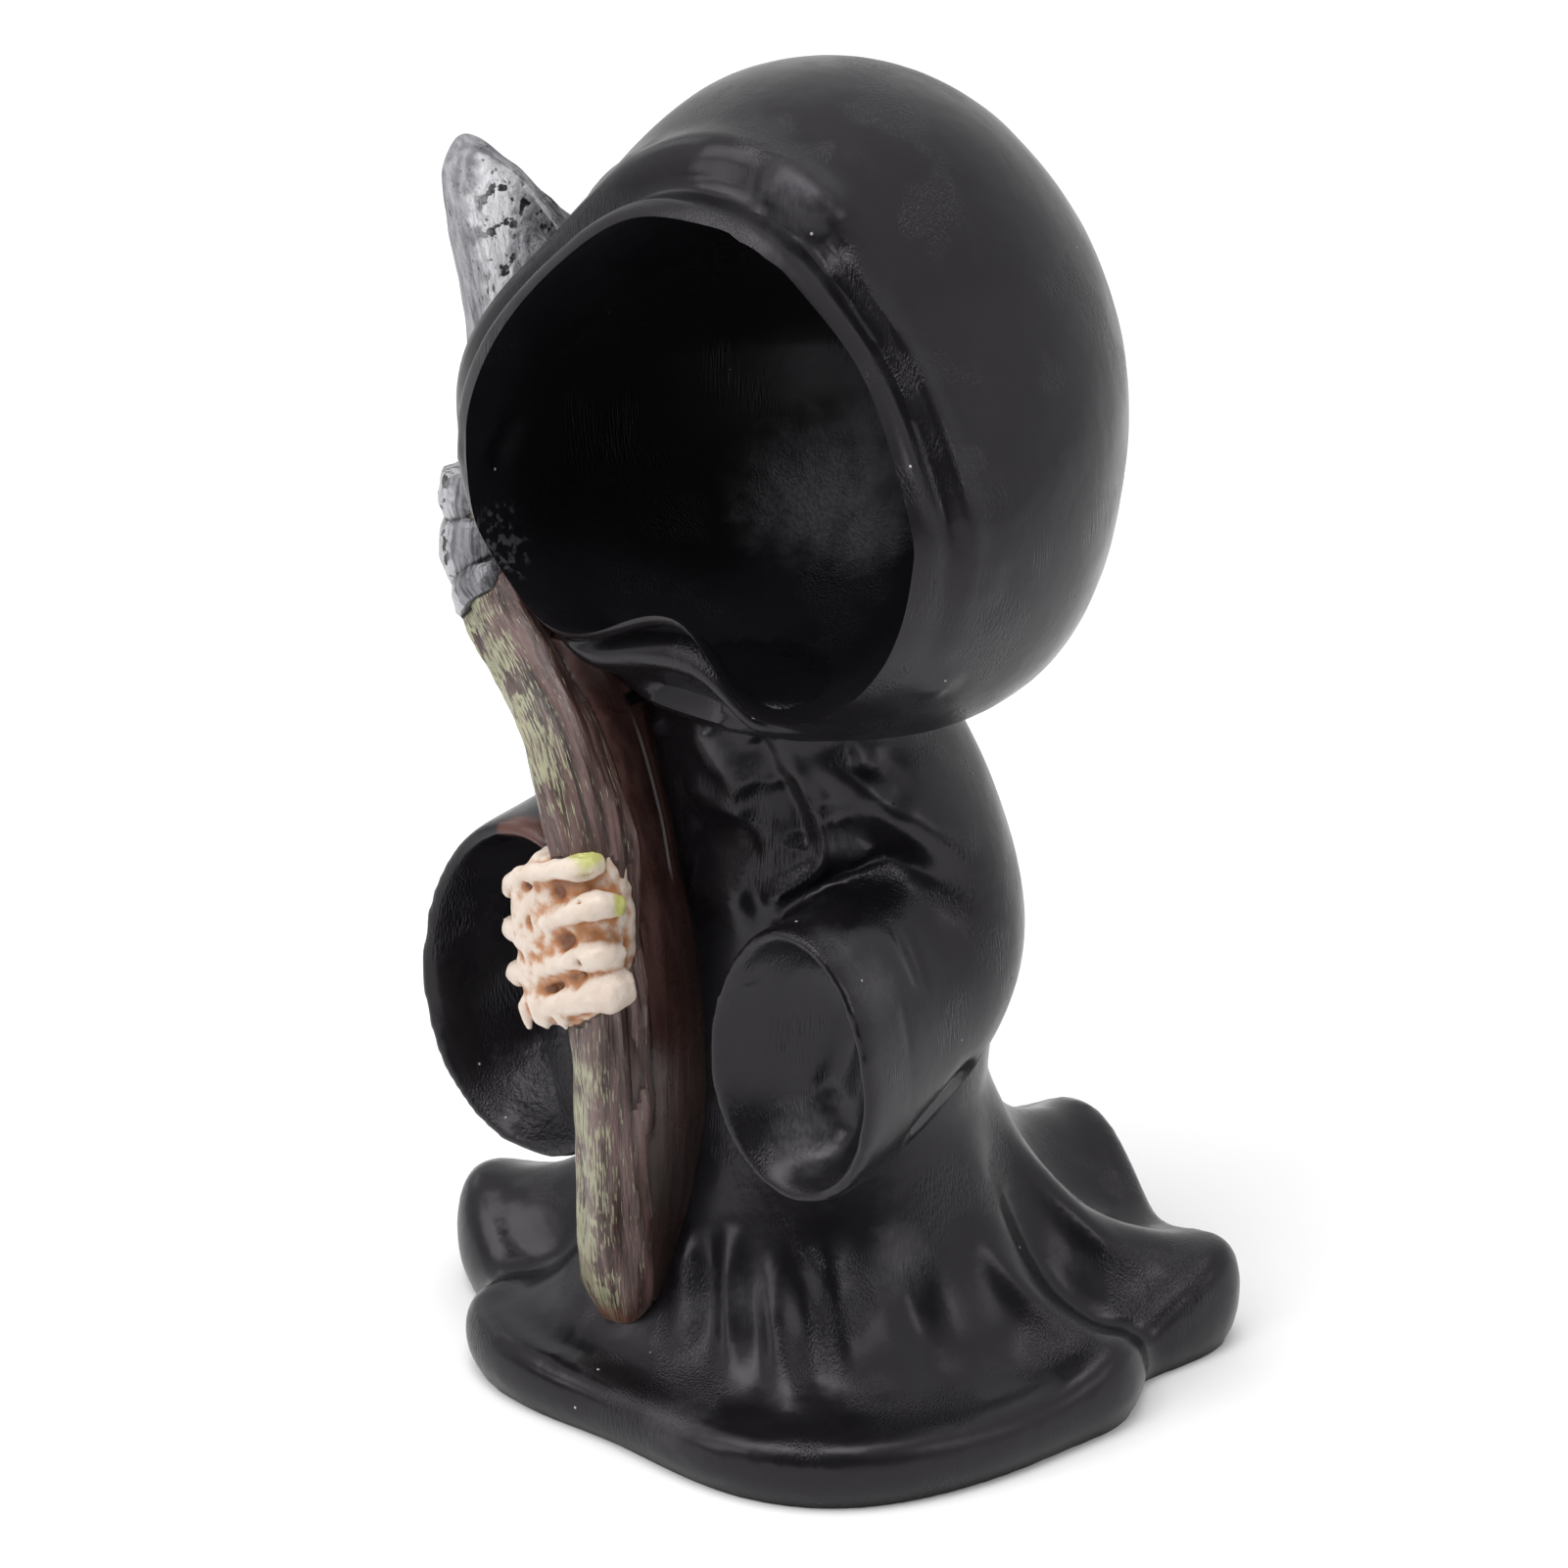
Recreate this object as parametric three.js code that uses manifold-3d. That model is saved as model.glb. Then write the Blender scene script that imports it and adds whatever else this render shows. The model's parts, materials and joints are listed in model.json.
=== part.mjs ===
// A small cast-resin grim reaper: an empty hood over a robe that spreads into a rippled hem,
// two open bell sleeves, and a crooked scythe held by a bony hand.
// Units are millimetres. +Z is up, the figure faces -Y, and its own right hand is towards -X.
// The origin is on the flat underside, below the middle of the hood.

import * as THREE from "three";
import { mergeVertices } from "three/addons/utils/BufferGeometryUtils.js";
import Module from "manifold-3d";

const wasm = await Module();
wasm.setup();

const { sin, cos, sqrt, exp, PI } = Math;
const TURN = 2 * PI;
const point = (x, y, z) => new THREE.Vector3(x, y, z);
const radians = THREE.MathUtils.degToRad;
const mix = THREE.MathUtils.lerp;

// Driving dimensions

const HOOD = { centre: point(0, 0, 82.5), radius: 25.6, around: 40, rows: 25, frontCut: -15.5 };
const ROWS = { shares: [0, 0.08, 0.41, 1], lipWidth: 9.5 };
const FACE = { side: 1.3, middle: -2.4, halfWidth: 20.5, rise: 21.6, fall: 18.4, archPower: 1.55, jawPower: 2.1 };
const NOTCH = { middle: -0.45, lift: 8.4, leftSpread: 7.6, rightSpread: 7.1 };
const HOLLOW = { mouth: -30, straightTo: -10, back: 17, lipDepth: 2.6 };
const HEM = { centreX: 0.5, centreY: 3.5, radius: 28.4, height: 5.4, around: 52 };
const WAIST_HEIGHT = 23.5;
const STAFF = { radius: 3.1, sides: 10, steps: 18 };
const FINGER_RADIUS = 1.5;
const BLADE = { thickness: 2.8, steps: 18 };

// Turning meshes into solids and back

function solid(geometry) {
  const bare = geometry.clone();
  bare.deleteAttribute("normal");
  bare.deleteAttribute("uv");
  const merged = mergeVertices(bare, 1e-4);
  return new wasm.Manifold(
    new wasm.Mesh({
      numProp: 3,
      vertProperties: new Float32Array(merged.attributes.position.array),
      triVerts: new Uint32Array(merged.index.array),
    }),
  );
}

function geometryOf(manifold) {
  const mesh = manifold.getMesh();
  const geometry = new THREE.BufferGeometry();
  geometry.setAttribute("position", new THREE.BufferAttribute(mesh.vertProperties, 3));
  geometry.setIndex(new THREE.BufferAttribute(mesh.triVerts, 1));
  return geometry;
}

// A closed skin through rings that all have the same number of points, counted anticlockwise
// when seen from the last ring back towards the first, with a cap on each end.
function loft(rings) {
  const count = rings[0].length;
  const middle = (ring) => ring.reduce((sum, p) => sum.add(p), point(0, 0, 0)).divideScalar(count);
  const points = [...rings.flat(), middle(rings[0]), middle(rings[rings.length - 1])];
  const first = rings.length * count;
  const last = first + 1;
  const top = (rings.length - 1) * count;
  const faces = [];
  for (let i = 0; i < count; i++) {
    const next = (i + 1) % count;
    faces.push(first, next, i);
    faces.push(last, top + i, top + next);
    for (let row = 0; row < top; row += count) {
      faces.push(row + i, row + next, row + count + next);
      faces.push(row + i, row + count + next, row + count + i);
    }
  }
  const geometry = new THREE.BufferGeometry().setFromPoints(points);
  geometry.setIndex(faces);
  const made = solid(geometry);
  return made.volume() < 0 ? solid(turnedOut(geometry)) : made;
}

function turnedOut(geometry) {
  const index = geometry.index.array;
  for (let i = 0; i < index.length; i += 3) [index[i + 1], index[i + 2]] = [index[i + 2], index[i + 1]];
  return geometry;
}

const join = (solids) => solids.reduce((whole, next) => whole.add(next));

// A smooth swelling: 1 at its middle, fading with the distance over its spread.
const swell = (distance, spread) => exp(-((distance / spread) ** 2));

// The shortest way round from one angle to another, in degrees.
const apart = (a, b) => ((((a - b) % 360) + 540) % 360) - 180;

// Robe: a hem of raised lips and dips round a slim column

// Each lip of the hem: where it is, how far it reaches out, how far it lifts, and its spread.
const LIPS = [
  { at: 4, reach: 1.2, lift: 1.9, spread: 9 },
  { at: 16.5, reach: -0.8, lift: -1.2, spread: 4.5 },
  { at: 34, reach: 5.6, lift: 3.4, spread: 11 },
  { at: 74, reach: 0.4, lift: 6.4, spread: 18 },
  { at: 103, reach: 1.2, lift: 0.6, spread: 10 },
  { at: 130, reach: 1.6, lift: 5.0, spread: 16 },
  { at: 165, reach: -0.6, lift: -0.4, spread: 12 },
  { at: 199, reach: 3.0, lift: 3.9, spread: 13 },
  { at: 218, reach: -1.7, lift: -1.4, spread: 7 },
  { at: 234, reach: 1.3, lift: 0.3, spread: 15 },
  { at: 268, reach: -2.4, lift: -0.5, spread: 20 },
  { at: 310, reach: 1.2, lift: 0.4, spread: 20 },
];
const lips = (degrees, what) =>
  LIPS.reduce((sum, lip) => sum + lip[what] * swell(apart(degrees, lip.at), lip.spread), 0);

// The column above the hem: height, half width, half depth and how far back its middle is.
const COLUMN = [
  [WAIST_HEIGHT, 13.8, 13.2, 3.4],
  [31, 14.0, 13.6, 4.0],
  [39, 14.2, 13.4, 3.8],
  [46, 14.0, 12.6, 3.0],
  [50, 13.5, 12.0, 2.2],
  [54, 12.6, 12.0, 1.6],
  [58, 12.0, 12.0, 1.2],
  [62, 12.4, 12.2, 1.0],
];

function robe() {
  const ring = (place) =>
    Array.from({ length: HEM.around }, (_, i) => place((i / HEM.around) * 360));
  const hemPoint = (inset, height) => (degrees) => {
    const reach = HEM.radius + lips(degrees, "reach") - inset;
    const top = HEM.height + lips(degrees, "lift");
    const turn = radians(degrees);
    return point(HEM.centreX + reach * cos(turn), HEM.centreY + reach * sin(turn), top * height);
  };
  const flarePoint = (share) => (degrees) => {
    const edge = hemPoint(1.0, 1)(degrees);
    const turn = radians(degrees);
    const [high, halfWidth, halfDepth, back] = COLUMN[0];
    const waist = point(halfWidth * cos(turn), back + halfDepth * sin(turn), high);
    const rise = share ** 3;
    return point(mix(edge.x, waist.x, share), mix(edge.y, waist.y, share), mix(edge.z, waist.z, rise));
  };
  const rings = [
    ring(hemPoint(1.2, 0)),
    ring(hemPoint(0.4, 0.16)),
    ring(hemPoint(0.0, 0.5)),
    ring(hemPoint(0.1, 0.82)),
    ring(hemPoint(0.45, 0.95)),
    ...[0, 0.14, 0.29, 0.44, 0.59, 0.74, 0.88].map((share) => ring(flarePoint(share))),
    ...COLUMN.map(([high, halfWidth, halfDepth, back]) =>
      ring((degrees) => {
        const turn = radians(degrees);
        return point(halfWidth * cos(turn), back + halfDepth * sin(turn), high);
      }),
    ),
  ];
  return loft(rings);
}

// Hood: a ball drawn narrow at the crown and full at the jaw, with a rolled brim

const HOOD_SWELLS = [
  { way: [0.69, -0.34, 0.57], by: -4.4, hold: 5, both: true },
  { way: [0.86, -0.5, -0.1], by: 1.3, hold: 10, both: true },
  { way: [0, 0.53, 0.85], by: 1.3, hold: 6 },
  { way: [0.71, 0.13, -0.69], by: 2.5, hold: 8, both: true },
].flatMap(({ way, by, hold, both }) => {
  const one = { way: point(...way).normalize(), by, hold };
  const other = { way: point(-way[0], way[1], way[2]).normalize(), by, hold };
  return both ? [one, other] : [one];
});

// The opening's outline by the turn from straight up: a narrow arch above, a full curve below,
// and a little to the figure's left.
function faceOutline(turn) {
  const across = sin(turn);
  const up = cos(turn);
  const power = up > 0 ? FACE.archPower : FACE.jawPower;
  const scale = (Math.abs(across) ** power + Math.abs(up) ** power) ** (-1 / power);
  const rise = up > 0 ? FACE.rise : FACE.fall;
  return [FACE.side + FACE.halfWidth * across * scale, FACE.middle + rise * up * scale];
}

// The lip is rolled outwards round the arch, with a shallow valley behind it.
function brim(way, reach) {
  const [x, z] = faceOutline(Math.atan2(way.x, way.z + 0.1));
  const off = reach * (Math.acos(-way.y) - Math.asin(Math.min(1, Math.hypot(x, z) / reach)));
  const arch = 1 / (1 + exp(-7 * (way.z + 0.12)));
  return arch * (0.7 * swell(off - 1, 2.2) - 1.1 * swell(off - 5, 2.2));
}

function hoodReach(way) {
  const plain = HOOD_SWELLS.reduce(
    (reach, bump) => reach + bump.by * exp(bump.hold * (way.dot(bump.way) - 1)),
    HOOD.radius,
  );
  return plain + brim(way, plain);
}

// Draws the rows of the ball together over the lip, so that they follow its outline.
function closeUp(way) {
  const share = Math.acos(-way.y) / PI;
  if (share < 1e-6 || share > 1 - 1e-6) return;
  const [x, z] = faceOutline(Math.atan2(way.x, way.z));
  const rim = Math.asin(Math.hypot(x, z) / HOOD.radius);
  const stops = [0, rim - 0.04, rim + ROWS.lipWidth / HOOD.radius, PI];
  const band = ROWS.shares.findIndex((end) => share <= end) - 1;
  const along = (share - ROWS.shares[band]) / (ROWS.shares[band + 1] - ROWS.shares[band]);
  const angle = mix(stops[band], stops[band + 1], along);
  const flat = Math.hypot(way.x, way.z);
  way.set((way.x / flat) * sin(angle), -cos(angle), (way.z / flat) * sin(angle));
}

function hoodBall() {
  const ball = new THREE.SphereGeometry(1, HOOD.around, HOOD.rows);
  const place = ball.attributes.position;
  const way = point(0, 0, 0);
  for (let i = 0; i < place.count; i++) {
    way.fromBufferAttribute(place, i).normalize();
    closeUp(way);
    const at = way.clone().multiplyScalar(hoodReach(way)).add(HOOD.centre);
    at.y = Math.max(at.y, HOOD.frontCut);
    place.setXYZ(i, at.x, at.y, at.z);
  }
  return solid(ball);
}

// Behind the notched lip the hollow drops again to the full curve.
function faceHollow() {
  const depths = [0, 0.24, 0.46, 0.66, 0.82, 0.93, 0.985];
  const section = (y, scale, notch) =>
    Array.from({ length: 36 }, (_, i) => {
      const [x, z] = faceOutline(((i + 0.5) / 36) * TURN);
      const spread = x < NOTCH.middle ? NOTCH.leftSpread : NOTCH.rightSpread;
      const lift = z < FACE.middle ? notch * NOTCH.lift * swell(x - NOTCH.middle, spread) : 0;
      const high = FACE.middle + (z + lift - FACE.middle) * scale;
      return point(x * scale, y, HOOD.centre.z + high);
    });
  const run = HOLLOW.back - HOLLOW.straightTo;
  return loft([
    section(HOLLOW.mouth, 1, 1),
    section(HOOD.frontCut + 0.9, 1, 1),
    section(HOOD.frontCut + HOLLOW.lipDepth, 1, 0.35),
    ...depths.map((d) => section(HOLLOW.straightTo + d * run, 0.985 * sqrt(1 - d * d), 0)),
  ]);
}

// Sleeves: bells that open forwards, each with a scooped mouth

// A ring of a sleeve: its middle, half width, half height, and how it is turned about Z and tipped.
function sleeveRing([x, y, z], halfWidth, halfHeight, turned = 0, tipped = 0, around = 24) {
  const frame = new THREE.Euler(radians(tipped), 0, radians(turned), "ZYX");
  return Array.from({ length: around }, (_, i) => {
    const angle = (i / around) * TURN;
    const egg = 1 + 0.1 * sin(angle);
    const at = point(halfWidth * cos(angle) / egg, 0, halfHeight * sin(angle));
    return at.applyEuler(frame).add(point(x, y, z));
  });
}

function leftSleeve() {
  const bell = loft([
    sleeveRing([4.4, 1.6, 58.6], 6.2, 9.6, 8, 84),
    sleeveRing([7.2, 1.8, 53.6], 7.6, 10.2, 8, 74),
    sleeveRing([9.4, 2.0, 48.4], 8.5, 10.2, 8, 60),
    sleeveRing([10.8, 2.0, 43.4], 8.6, 10.0, 8, 42),
    sleeveRing([11.6, -0.2, 39.4], 8.6, 9.8, 6, 22),
    sleeveRing([12.1, -5.0, 36.8], 8.3, 10.4, 5, 8),
    sleeveRing([12.6, -11, 36.0], 8.0, 11.4, 3),
    sleeveRing([12.8, -16.4, 36.2], 7.9, 11.7, 0),
    sleeveRing([12.8, -17, 36.3], 7.4, 11.2, 0),
  ]);
  const scoop = loft([
    sleeveRing([12.8, -20, 36.3], 6.7, 10.5, 0, 0, 20),
    sleeveRing([12.8, -16.5, 36.3], 6.5, 10.2, 0, 0, 20),
    sleeveRing([13.4, -13, 35.6], 5.4, 8.8, 0, 0, 20),
    sleeveRing([14.6, -9.5, 34.6], 3.2, 6.6, 0, 0, 20),
    sleeveRing([15.4, -7.5, 34.0], 1.2, 4.2, 0, 0, 20),
  ]);
  return { bell, scoop };
}

function rightSleeve() {
  const bell = loft([
    sleeveRing([-4.6, 1.6, 58.6], 7.0, 9.4, -8, 84),
    sleeveRing([-7.2, 1.8, 53.6], 8.2, 10.0, -8, 74),
    sleeveRing([-9.3, 2.0, 48.4], 8.6, 10.2, -8, 60),
    sleeveRing([-10.8, 1.8, 43.6], 8.8, 10.6, -8, 42),
    sleeveRing([-11.9, -0.4, 40.0], 9.2, 11.4, -6, 22),
    sleeveRing([-12.8, -5.0, 37.0], 9.8, 12.8, -5, 8),
    sleeveRing([-13.3, -11, 35.0], 10.3, 14.2, -3),
    sleeveRing([-13.6, -16.4, 34.2], 10.6, 14.6, 0),
    sleeveRing([-13.6, -17, 34.2], 10.0, 14.0, 0),
  ]);
  const scoop = loft([
    sleeveRing([-13.6, -20, 34.2], 9.4, 13.4, 0, 0, 20),
    sleeveRing([-13.6, -16.5, 34.2], 9.2, 13.1, 0, 0, 20),
    sleeveRing([-13.4, -12.5, 33.8], 7.8, 11.4, 0, 0, 20),
    sleeveRing([-13.0, -8.5, 33.4], 5.4, 8.6, 0, 0, 20),
    sleeveRing([-12.6, -6.0, 33.0], 2.6, 5.2, 0, 0, 20),
  ]);
  return { bell, scoop };
}

// Scythe: a crooked staff, the web that the mould leaves behind it, and the blade

const STAFF_LINE = new THREE.CatmullRomCurve3([
  point(-6.0, -13.4, 5.4),
  point(-5.7, -14.6, 15.0),
  point(-4.9, -16.0, 24.0),
  point(-4.4, -17.2, 33.5),
  point(-4.6, -17.8, 42.5),
  point(-6.2, -17.0, 50.0),
  point(-10.2, -15.2, 56.5),
  point(-14.6, -13.2, 60.4),
  point(-19.2, -11.4, 63.4),
  point(-22.2, -9.8, 66.0),
  point(-23.4, -8.8, 70.0),
  point(-23.8, -8.4, 73.0),
]);

function tubeRings(curve, steps, sides, radiusAt) {
  const rings = [];
  const up = point(0.2, -1, 0.1);
  for (let s = 0; s <= steps; s++) {
    const share = s / steps;
    const along = curve.getTangentAt(share);
    const side = point(0, 0, 0).crossVectors(up, along).normalize();
    const front = point(0, 0, 0).crossVectors(along, side).normalize();
    const centre = curve.getPointAt(share);
    rings.push(
      Array.from({ length: sides }, (_, i) => {
        const angle = (i / sides) * TURN;
        const radius = radiusAt(share, angle);
        return centre
          .clone()
          .addScaledVector(side, radius * cos(angle))
          .addScaledVector(front, radius * sin(angle));
      }),
    );
  }
  return rings;
}

function staff() {
  const radiusAt = (share, angle) => {
    const knob = 0.45 * swell(share - 0.08, 0.08) - 0.9 * swell(share, 0.035);
    const bark = 0.22 * cos(3 * angle + 9 * share) + 0.14 * cos(5 * angle - 14 * share);
    return STAFF.radius + knob + bark - 0.5 * share;
  };
  return loft(tubeRings(STAFF_LINE, STAFF.steps, STAFF.sides, radiusAt));
}

// The web's right edge on the robe: height, sideways place and how far forward it meets the robe.
const WEB_EDGE = [
  [9, -2.4, -12.5],
  [16, -1.6, -12.5],
  [25, -1.0, -10.5],
  [33, -0.9, -10.0],
  [41, -1.8, -10.0],
  [47, -3.2, -10.0],
  [52, -4.0, -10.8],
  [56.5, -5.2, -12.0],
  [60.5, -7.6, -13.2],
  [63.4, -10.2, -13.6],
];

function web() {
  const places = STAFF_LINE.getPoints(120);
  return loft(
    WEB_EDGE.map(([high, edgeX, edgeY]) => {
      const at = places.reduce((best, p) => (Math.abs(p.z - high) < Math.abs(best.z - high) ? p : best));
      return [
        point(at.x - 1.4, at.y + 1.2, at.z),
        point(at.x + 2.5, at.y - 1.1, at.z),
        point(mix(at.x + 2.5, edgeX, 0.6) - 0.3, mix(at.y - 1.1, edgeY, 0.6), high),
        point(edgeX, edgeY, high),
        point(edgeX, edgeY + 5, high),
        point(edgeX - 5, edgeY + 5, high),
      ];
    }),
  );
}

// A tapering strand along a few places: a fold, a finger bone or the wrist.
function strand(places, radiusAt, steps = 8, sides = 8) {
  const curve = new THREE.CatmullRomCurve3(places.map((place) => point(...place)));
  return loft(tubeRings(curve, steps, sides, radiusAt));
}

const fold = (places, radius) => strand(places, (share) => radius * (0.4 + 0.6 * sin(PI * share)), 7, 8);

function chestFolds() {
  return [
    fold([[7.4, -8.4, 60.5], [8.8, -8.6, 55.5], [9.6, -8.4, 50.8], [8.0, -8.9, 46.5], [4.5, -8.9, 43.6]], 1.8),
    fold([[-3.0, -8.6, 61.0], [1.8, -9.0, 59.4], [5.8, -8.6, 55.6]], 2.9),
    fold([[-2.6, -8.6, 53.4], [2.4, -9.2, 52.6], [6.6, -8.8, 53.0]], 1.6),
    fold([[-2.6, -8.4, 50.2], [2.4, -9.2, 49.0], [6.8, -8.8, 51.6]], 1.7),
    fold([[-3.6, -7.8, 46.8], [3.0, -8.4, 45.0], [8.4, -7.4, 47.6]], 3.0),
  ];
}

// Hand: a block of bone round the staff, four fingers across it, and the wrist into the sleeve

const FINGERS = [
  [[-11.9, -17.2, 44.2], [-11.2, -19.2, 45.2], [-8.1, -20.3, 47.4], [-4.6, -20.9, 49.4], [-2.9, -18.8, 49.7]],
  [[-11.8, -17.0, 40.6], [-11.0, -19.2, 41.6], [-7.9, -20.4, 44.0], [-4.3, -21.0, 46.0], [-2.5, -18.4, 46.4]],
  [[-11.2, -17.2, 36.6], [-10.2, -19.4, 37.8], [-6.8, -20.8, 40.6], [-3.5, -21.1, 42.2], [-1.7, -19.2, 42.5]],
  [[-9.2, -18.6, 35.6], [-8.0, -20.2, 36.8], [-4.6, -20.9, 38.6], [-2.2, -20.7, 39.4], [-1.0, -19.0, 39.4]],
];
// The block's sections: middle, half width and half depth, from below.
const BLOCK = [
  [-6.9, -17.9, 35.2, 3.0, 2.4],
  [-6.7, -18.2, 38.6, 4.5, 2.6],
  [-6.9, -18.3, 43.0, 4.7, 2.6],
  [-7.1, -18.0, 48.6, 4.0, 2.2],
];

function hand() {
  const knuckles = (share) => FINGER_RADIUS * (0.9 + 0.13 * cos(5.2 * PI * share) + 0.16 * swell(share - 0.08, 0.09));
  const fingers = FINGERS.map((places) => strand(places, knuckles, 9, 8));
  const wrist = strand([[-8.4, -17.2, 41.4], [-10.8, -14.0, 39.8], [-12.6, -8.0, 36.4]], () => 3.7, 3, 9);
  const block = loft(
    BLOCK.map(([x, y, z, halfWidth, halfDepth]) =>
      Array.from({ length: 10 }, (_, i) => {
        const turn = ((i + 0.5) / 10) * TURN;
        const sideways = halfWidth * cos(turn);
        return point(x + sideways, y + halfDepth * sin(turn), z + 0.3 * sideways);
      }),
    ),
  );
  return [...fingers, block, wrist];
}

// Collar: the lashing at the staff's head, in three turns

function collar() {
  const radiusAt = (share) => 2.9 + 0.5 * Math.abs(sin(3 * PI * share)) + 0.3 * sin(PI * share);
  const places = [[-20.0, -11.0, 63.8], [-22.2, -9.8, 65.8], [-23.4, -8.8, 69.6], [-23.8, -8.4, 73.2]];
  return strand(places, radiusAt, 12, 10);
}

// Blade: it rises beside the hood, turns at its heel and sweeps down round the hood's back

const SPINE_LINE = [
  [-24.6, -8.4, 71.0],
  [-24.7, -8.2, 79.0],
  [-25.8, -8.0, 87.0],
  [-27.5, -7.9, 93.6],
  [-27.9, -7.8, 97.6],
  [-26.2, -7.0, 100.0],
  [-23.6, -4.6, 97.4],
  [-23.0, -0.6, 93.2],
  [-23.4, 5.0, 89.4],
  [-20.8, 13.8, 85.6],
  [-15.4, 20.6, 80.8],
  [-9.0, 24.4, 75.6],
  [-2.4, 25.4, 70.6],
];
const EDGE_LINE = [
  [-21.6, -6.0, 71.0],
  [-21.2, -5.4, 77.0],
  [-20.6, -4.6, 83.0],
  [-20.2, -4.0, 87.0],
  [-20.2, -3.6, 88.6],
  [-20.6, -2.6, 88.4],
  [-21.2, -1.0, 86.4],
  [-22.4, 1.6, 82.6],
  [-23.2, 6.0, 78.0],
  [-21.2, 13.0, 74.8],
  [-15.8, 19.0, 72.6],
  [-9.4, 22.8, 71.0],
  [-2.8, 24.6, 70.0],
];

function blade() {
  const spine = new THREE.CatmullRomCurve3(SPINE_LINE.map((place) => point(...place)));
  const edge = new THREE.CatmullRomCurve3(EDGE_LINE.map((place) => point(...place)));
  const rings = [];
  for (let s = 0; s <= BLADE.steps; s++) {
    const share = s / BLADE.steps;
    const outer = spine.getPoint(share);
    const inner = edge.getPoint(share);
    const out = point(outer.x + inner.x, outer.y + inner.y, 0).normalize();
    const thick = BLADE.thickness * (1 - 0.45 * share);
    const at = (along, off) => outer.clone().lerp(inner, along).addScaledVector(out, off * thick);
    rings.push([at(0, 0.22), at(0.3, 0.55), at(1, 0.12), at(1, -0.12), at(0.3, -0.55), at(0, -0.22)]);
  }
  return loft(rings);
}

// The casting: every part is one body, and the three hollows are cut before the staff crosses them

const { bell: leftBell, scoop: leftScoop } = leftSleeve();
const { bell: rightBell, scoop: rightScoop } = rightSleeve();
let figure = join([robe(), hoodBall(), leftBell, rightBell, ...chestFolds(), collar(), blade()]);
figure = figure.subtract(faceHollow()).subtract(leftScoop).subtract(rightScoop);
figure = join([figure, staff(), web(), ...hand()]);

const reaper = new THREE.Mesh(
  geometryOf(figure),
  new THREE.MeshStandardMaterial({ color: 0x151417, roughness: 0.4, metalness: 0 }),
);
reaper.name = "grim_reaper";

const part = new THREE.Group();
part.add(reaper);

export default part;
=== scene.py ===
# %% [markdown]
# # A cast-resin grim reaper
#
# The real figurine is one solid casting, about 108 mm tall, brushed black all over and then
# picked out by hand in brown, bone and silver. A sculptor makes such a thing in two goes: big
# plain blanks first, fused into one body, and then the lips, creases and grain that catch the
# light. This file follows the same road, and ends with the paint.

# %% The frame that the solid model gives
import contextlib
import json
import math
import bpy
import numpy as np
from mathutils import Matrix, Vector, noise

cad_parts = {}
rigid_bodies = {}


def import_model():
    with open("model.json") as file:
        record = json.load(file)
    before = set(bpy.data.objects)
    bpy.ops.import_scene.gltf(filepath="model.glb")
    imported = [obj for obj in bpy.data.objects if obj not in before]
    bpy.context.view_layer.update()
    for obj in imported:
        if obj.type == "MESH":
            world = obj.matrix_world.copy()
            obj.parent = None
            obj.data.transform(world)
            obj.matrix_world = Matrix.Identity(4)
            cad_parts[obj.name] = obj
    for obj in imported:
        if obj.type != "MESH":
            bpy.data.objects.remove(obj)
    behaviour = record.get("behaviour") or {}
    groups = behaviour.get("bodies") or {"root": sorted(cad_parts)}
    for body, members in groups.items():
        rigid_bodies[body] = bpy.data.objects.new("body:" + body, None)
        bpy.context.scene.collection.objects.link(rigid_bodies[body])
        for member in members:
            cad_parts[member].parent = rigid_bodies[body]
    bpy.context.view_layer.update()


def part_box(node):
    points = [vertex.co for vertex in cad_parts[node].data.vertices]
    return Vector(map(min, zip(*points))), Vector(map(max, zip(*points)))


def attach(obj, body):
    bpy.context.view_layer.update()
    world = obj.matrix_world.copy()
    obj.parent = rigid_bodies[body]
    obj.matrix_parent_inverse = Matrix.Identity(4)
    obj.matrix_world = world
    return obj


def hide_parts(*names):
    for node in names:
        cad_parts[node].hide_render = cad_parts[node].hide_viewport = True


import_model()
SOLID = "grim_reaper"
low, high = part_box(SOLID)
print("the solid is", [round(1000 * (b - a), 1) for a, b in zip(low, high)], "mm")

# %% [markdown]
# ## Camera, floor and light
#
# The photograph looks down on the figure by 26 degrees, from its left front. A long lens keeps
# the perspective as mild as it is there. The camera comes first.

# %% The camera
MM = 0.001
VIEW_TURN, VIEW_RISE = 38, 26
VIEW_DISTANCE = 520 * MM
VIEW_TARGET = Vector((-0.43, -0.35, 49.97)) * MM
LENS, SENSOR = 153.05, 36


def heading(turn, rise):
    """The way from the figure that has this turn from the front and this rise, in degrees."""
    turn, rise = math.radians(turn), math.radians(rise)
    flat = math.cos(rise)
    return Vector((math.sin(turn) * flat, -math.cos(turn) * flat, math.sin(rise)))


towards_camera = heading(VIEW_TURN, VIEW_RISE)
camera_data = bpy.data.cameras.new("photo_camera")
camera_data.lens = LENS
camera_data.sensor_width = SENSOR
camera_data.clip_start = 10 * MM
camera = bpy.data.objects.new("photo_camera", camera_data)
bpy.context.scene.collection.objects.link(camera)
camera.location = VIEW_TARGET + towards_camera * VIEW_DISTANCE
camera.rotation_euler = (-towards_camera).to_track_quat("-Z", "Y").to_euler()
bpy.context.scene.camera = camera
print("camera at", [round(v / MM) for v in camera.location], "mm")


# %% Picking one object out
def pick(piece):
    """Leaves the piece as the only selected object, and the active one."""
    if bpy.context.object and bpy.context.object.mode != "OBJECT":
        bpy.ops.object.mode_set(mode="OBJECT")
    bpy.ops.object.select_all(action="DESELECT")
    if piece:
        piece.select_set(True)
        bpy.context.view_layer.objects.active = piece


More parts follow.
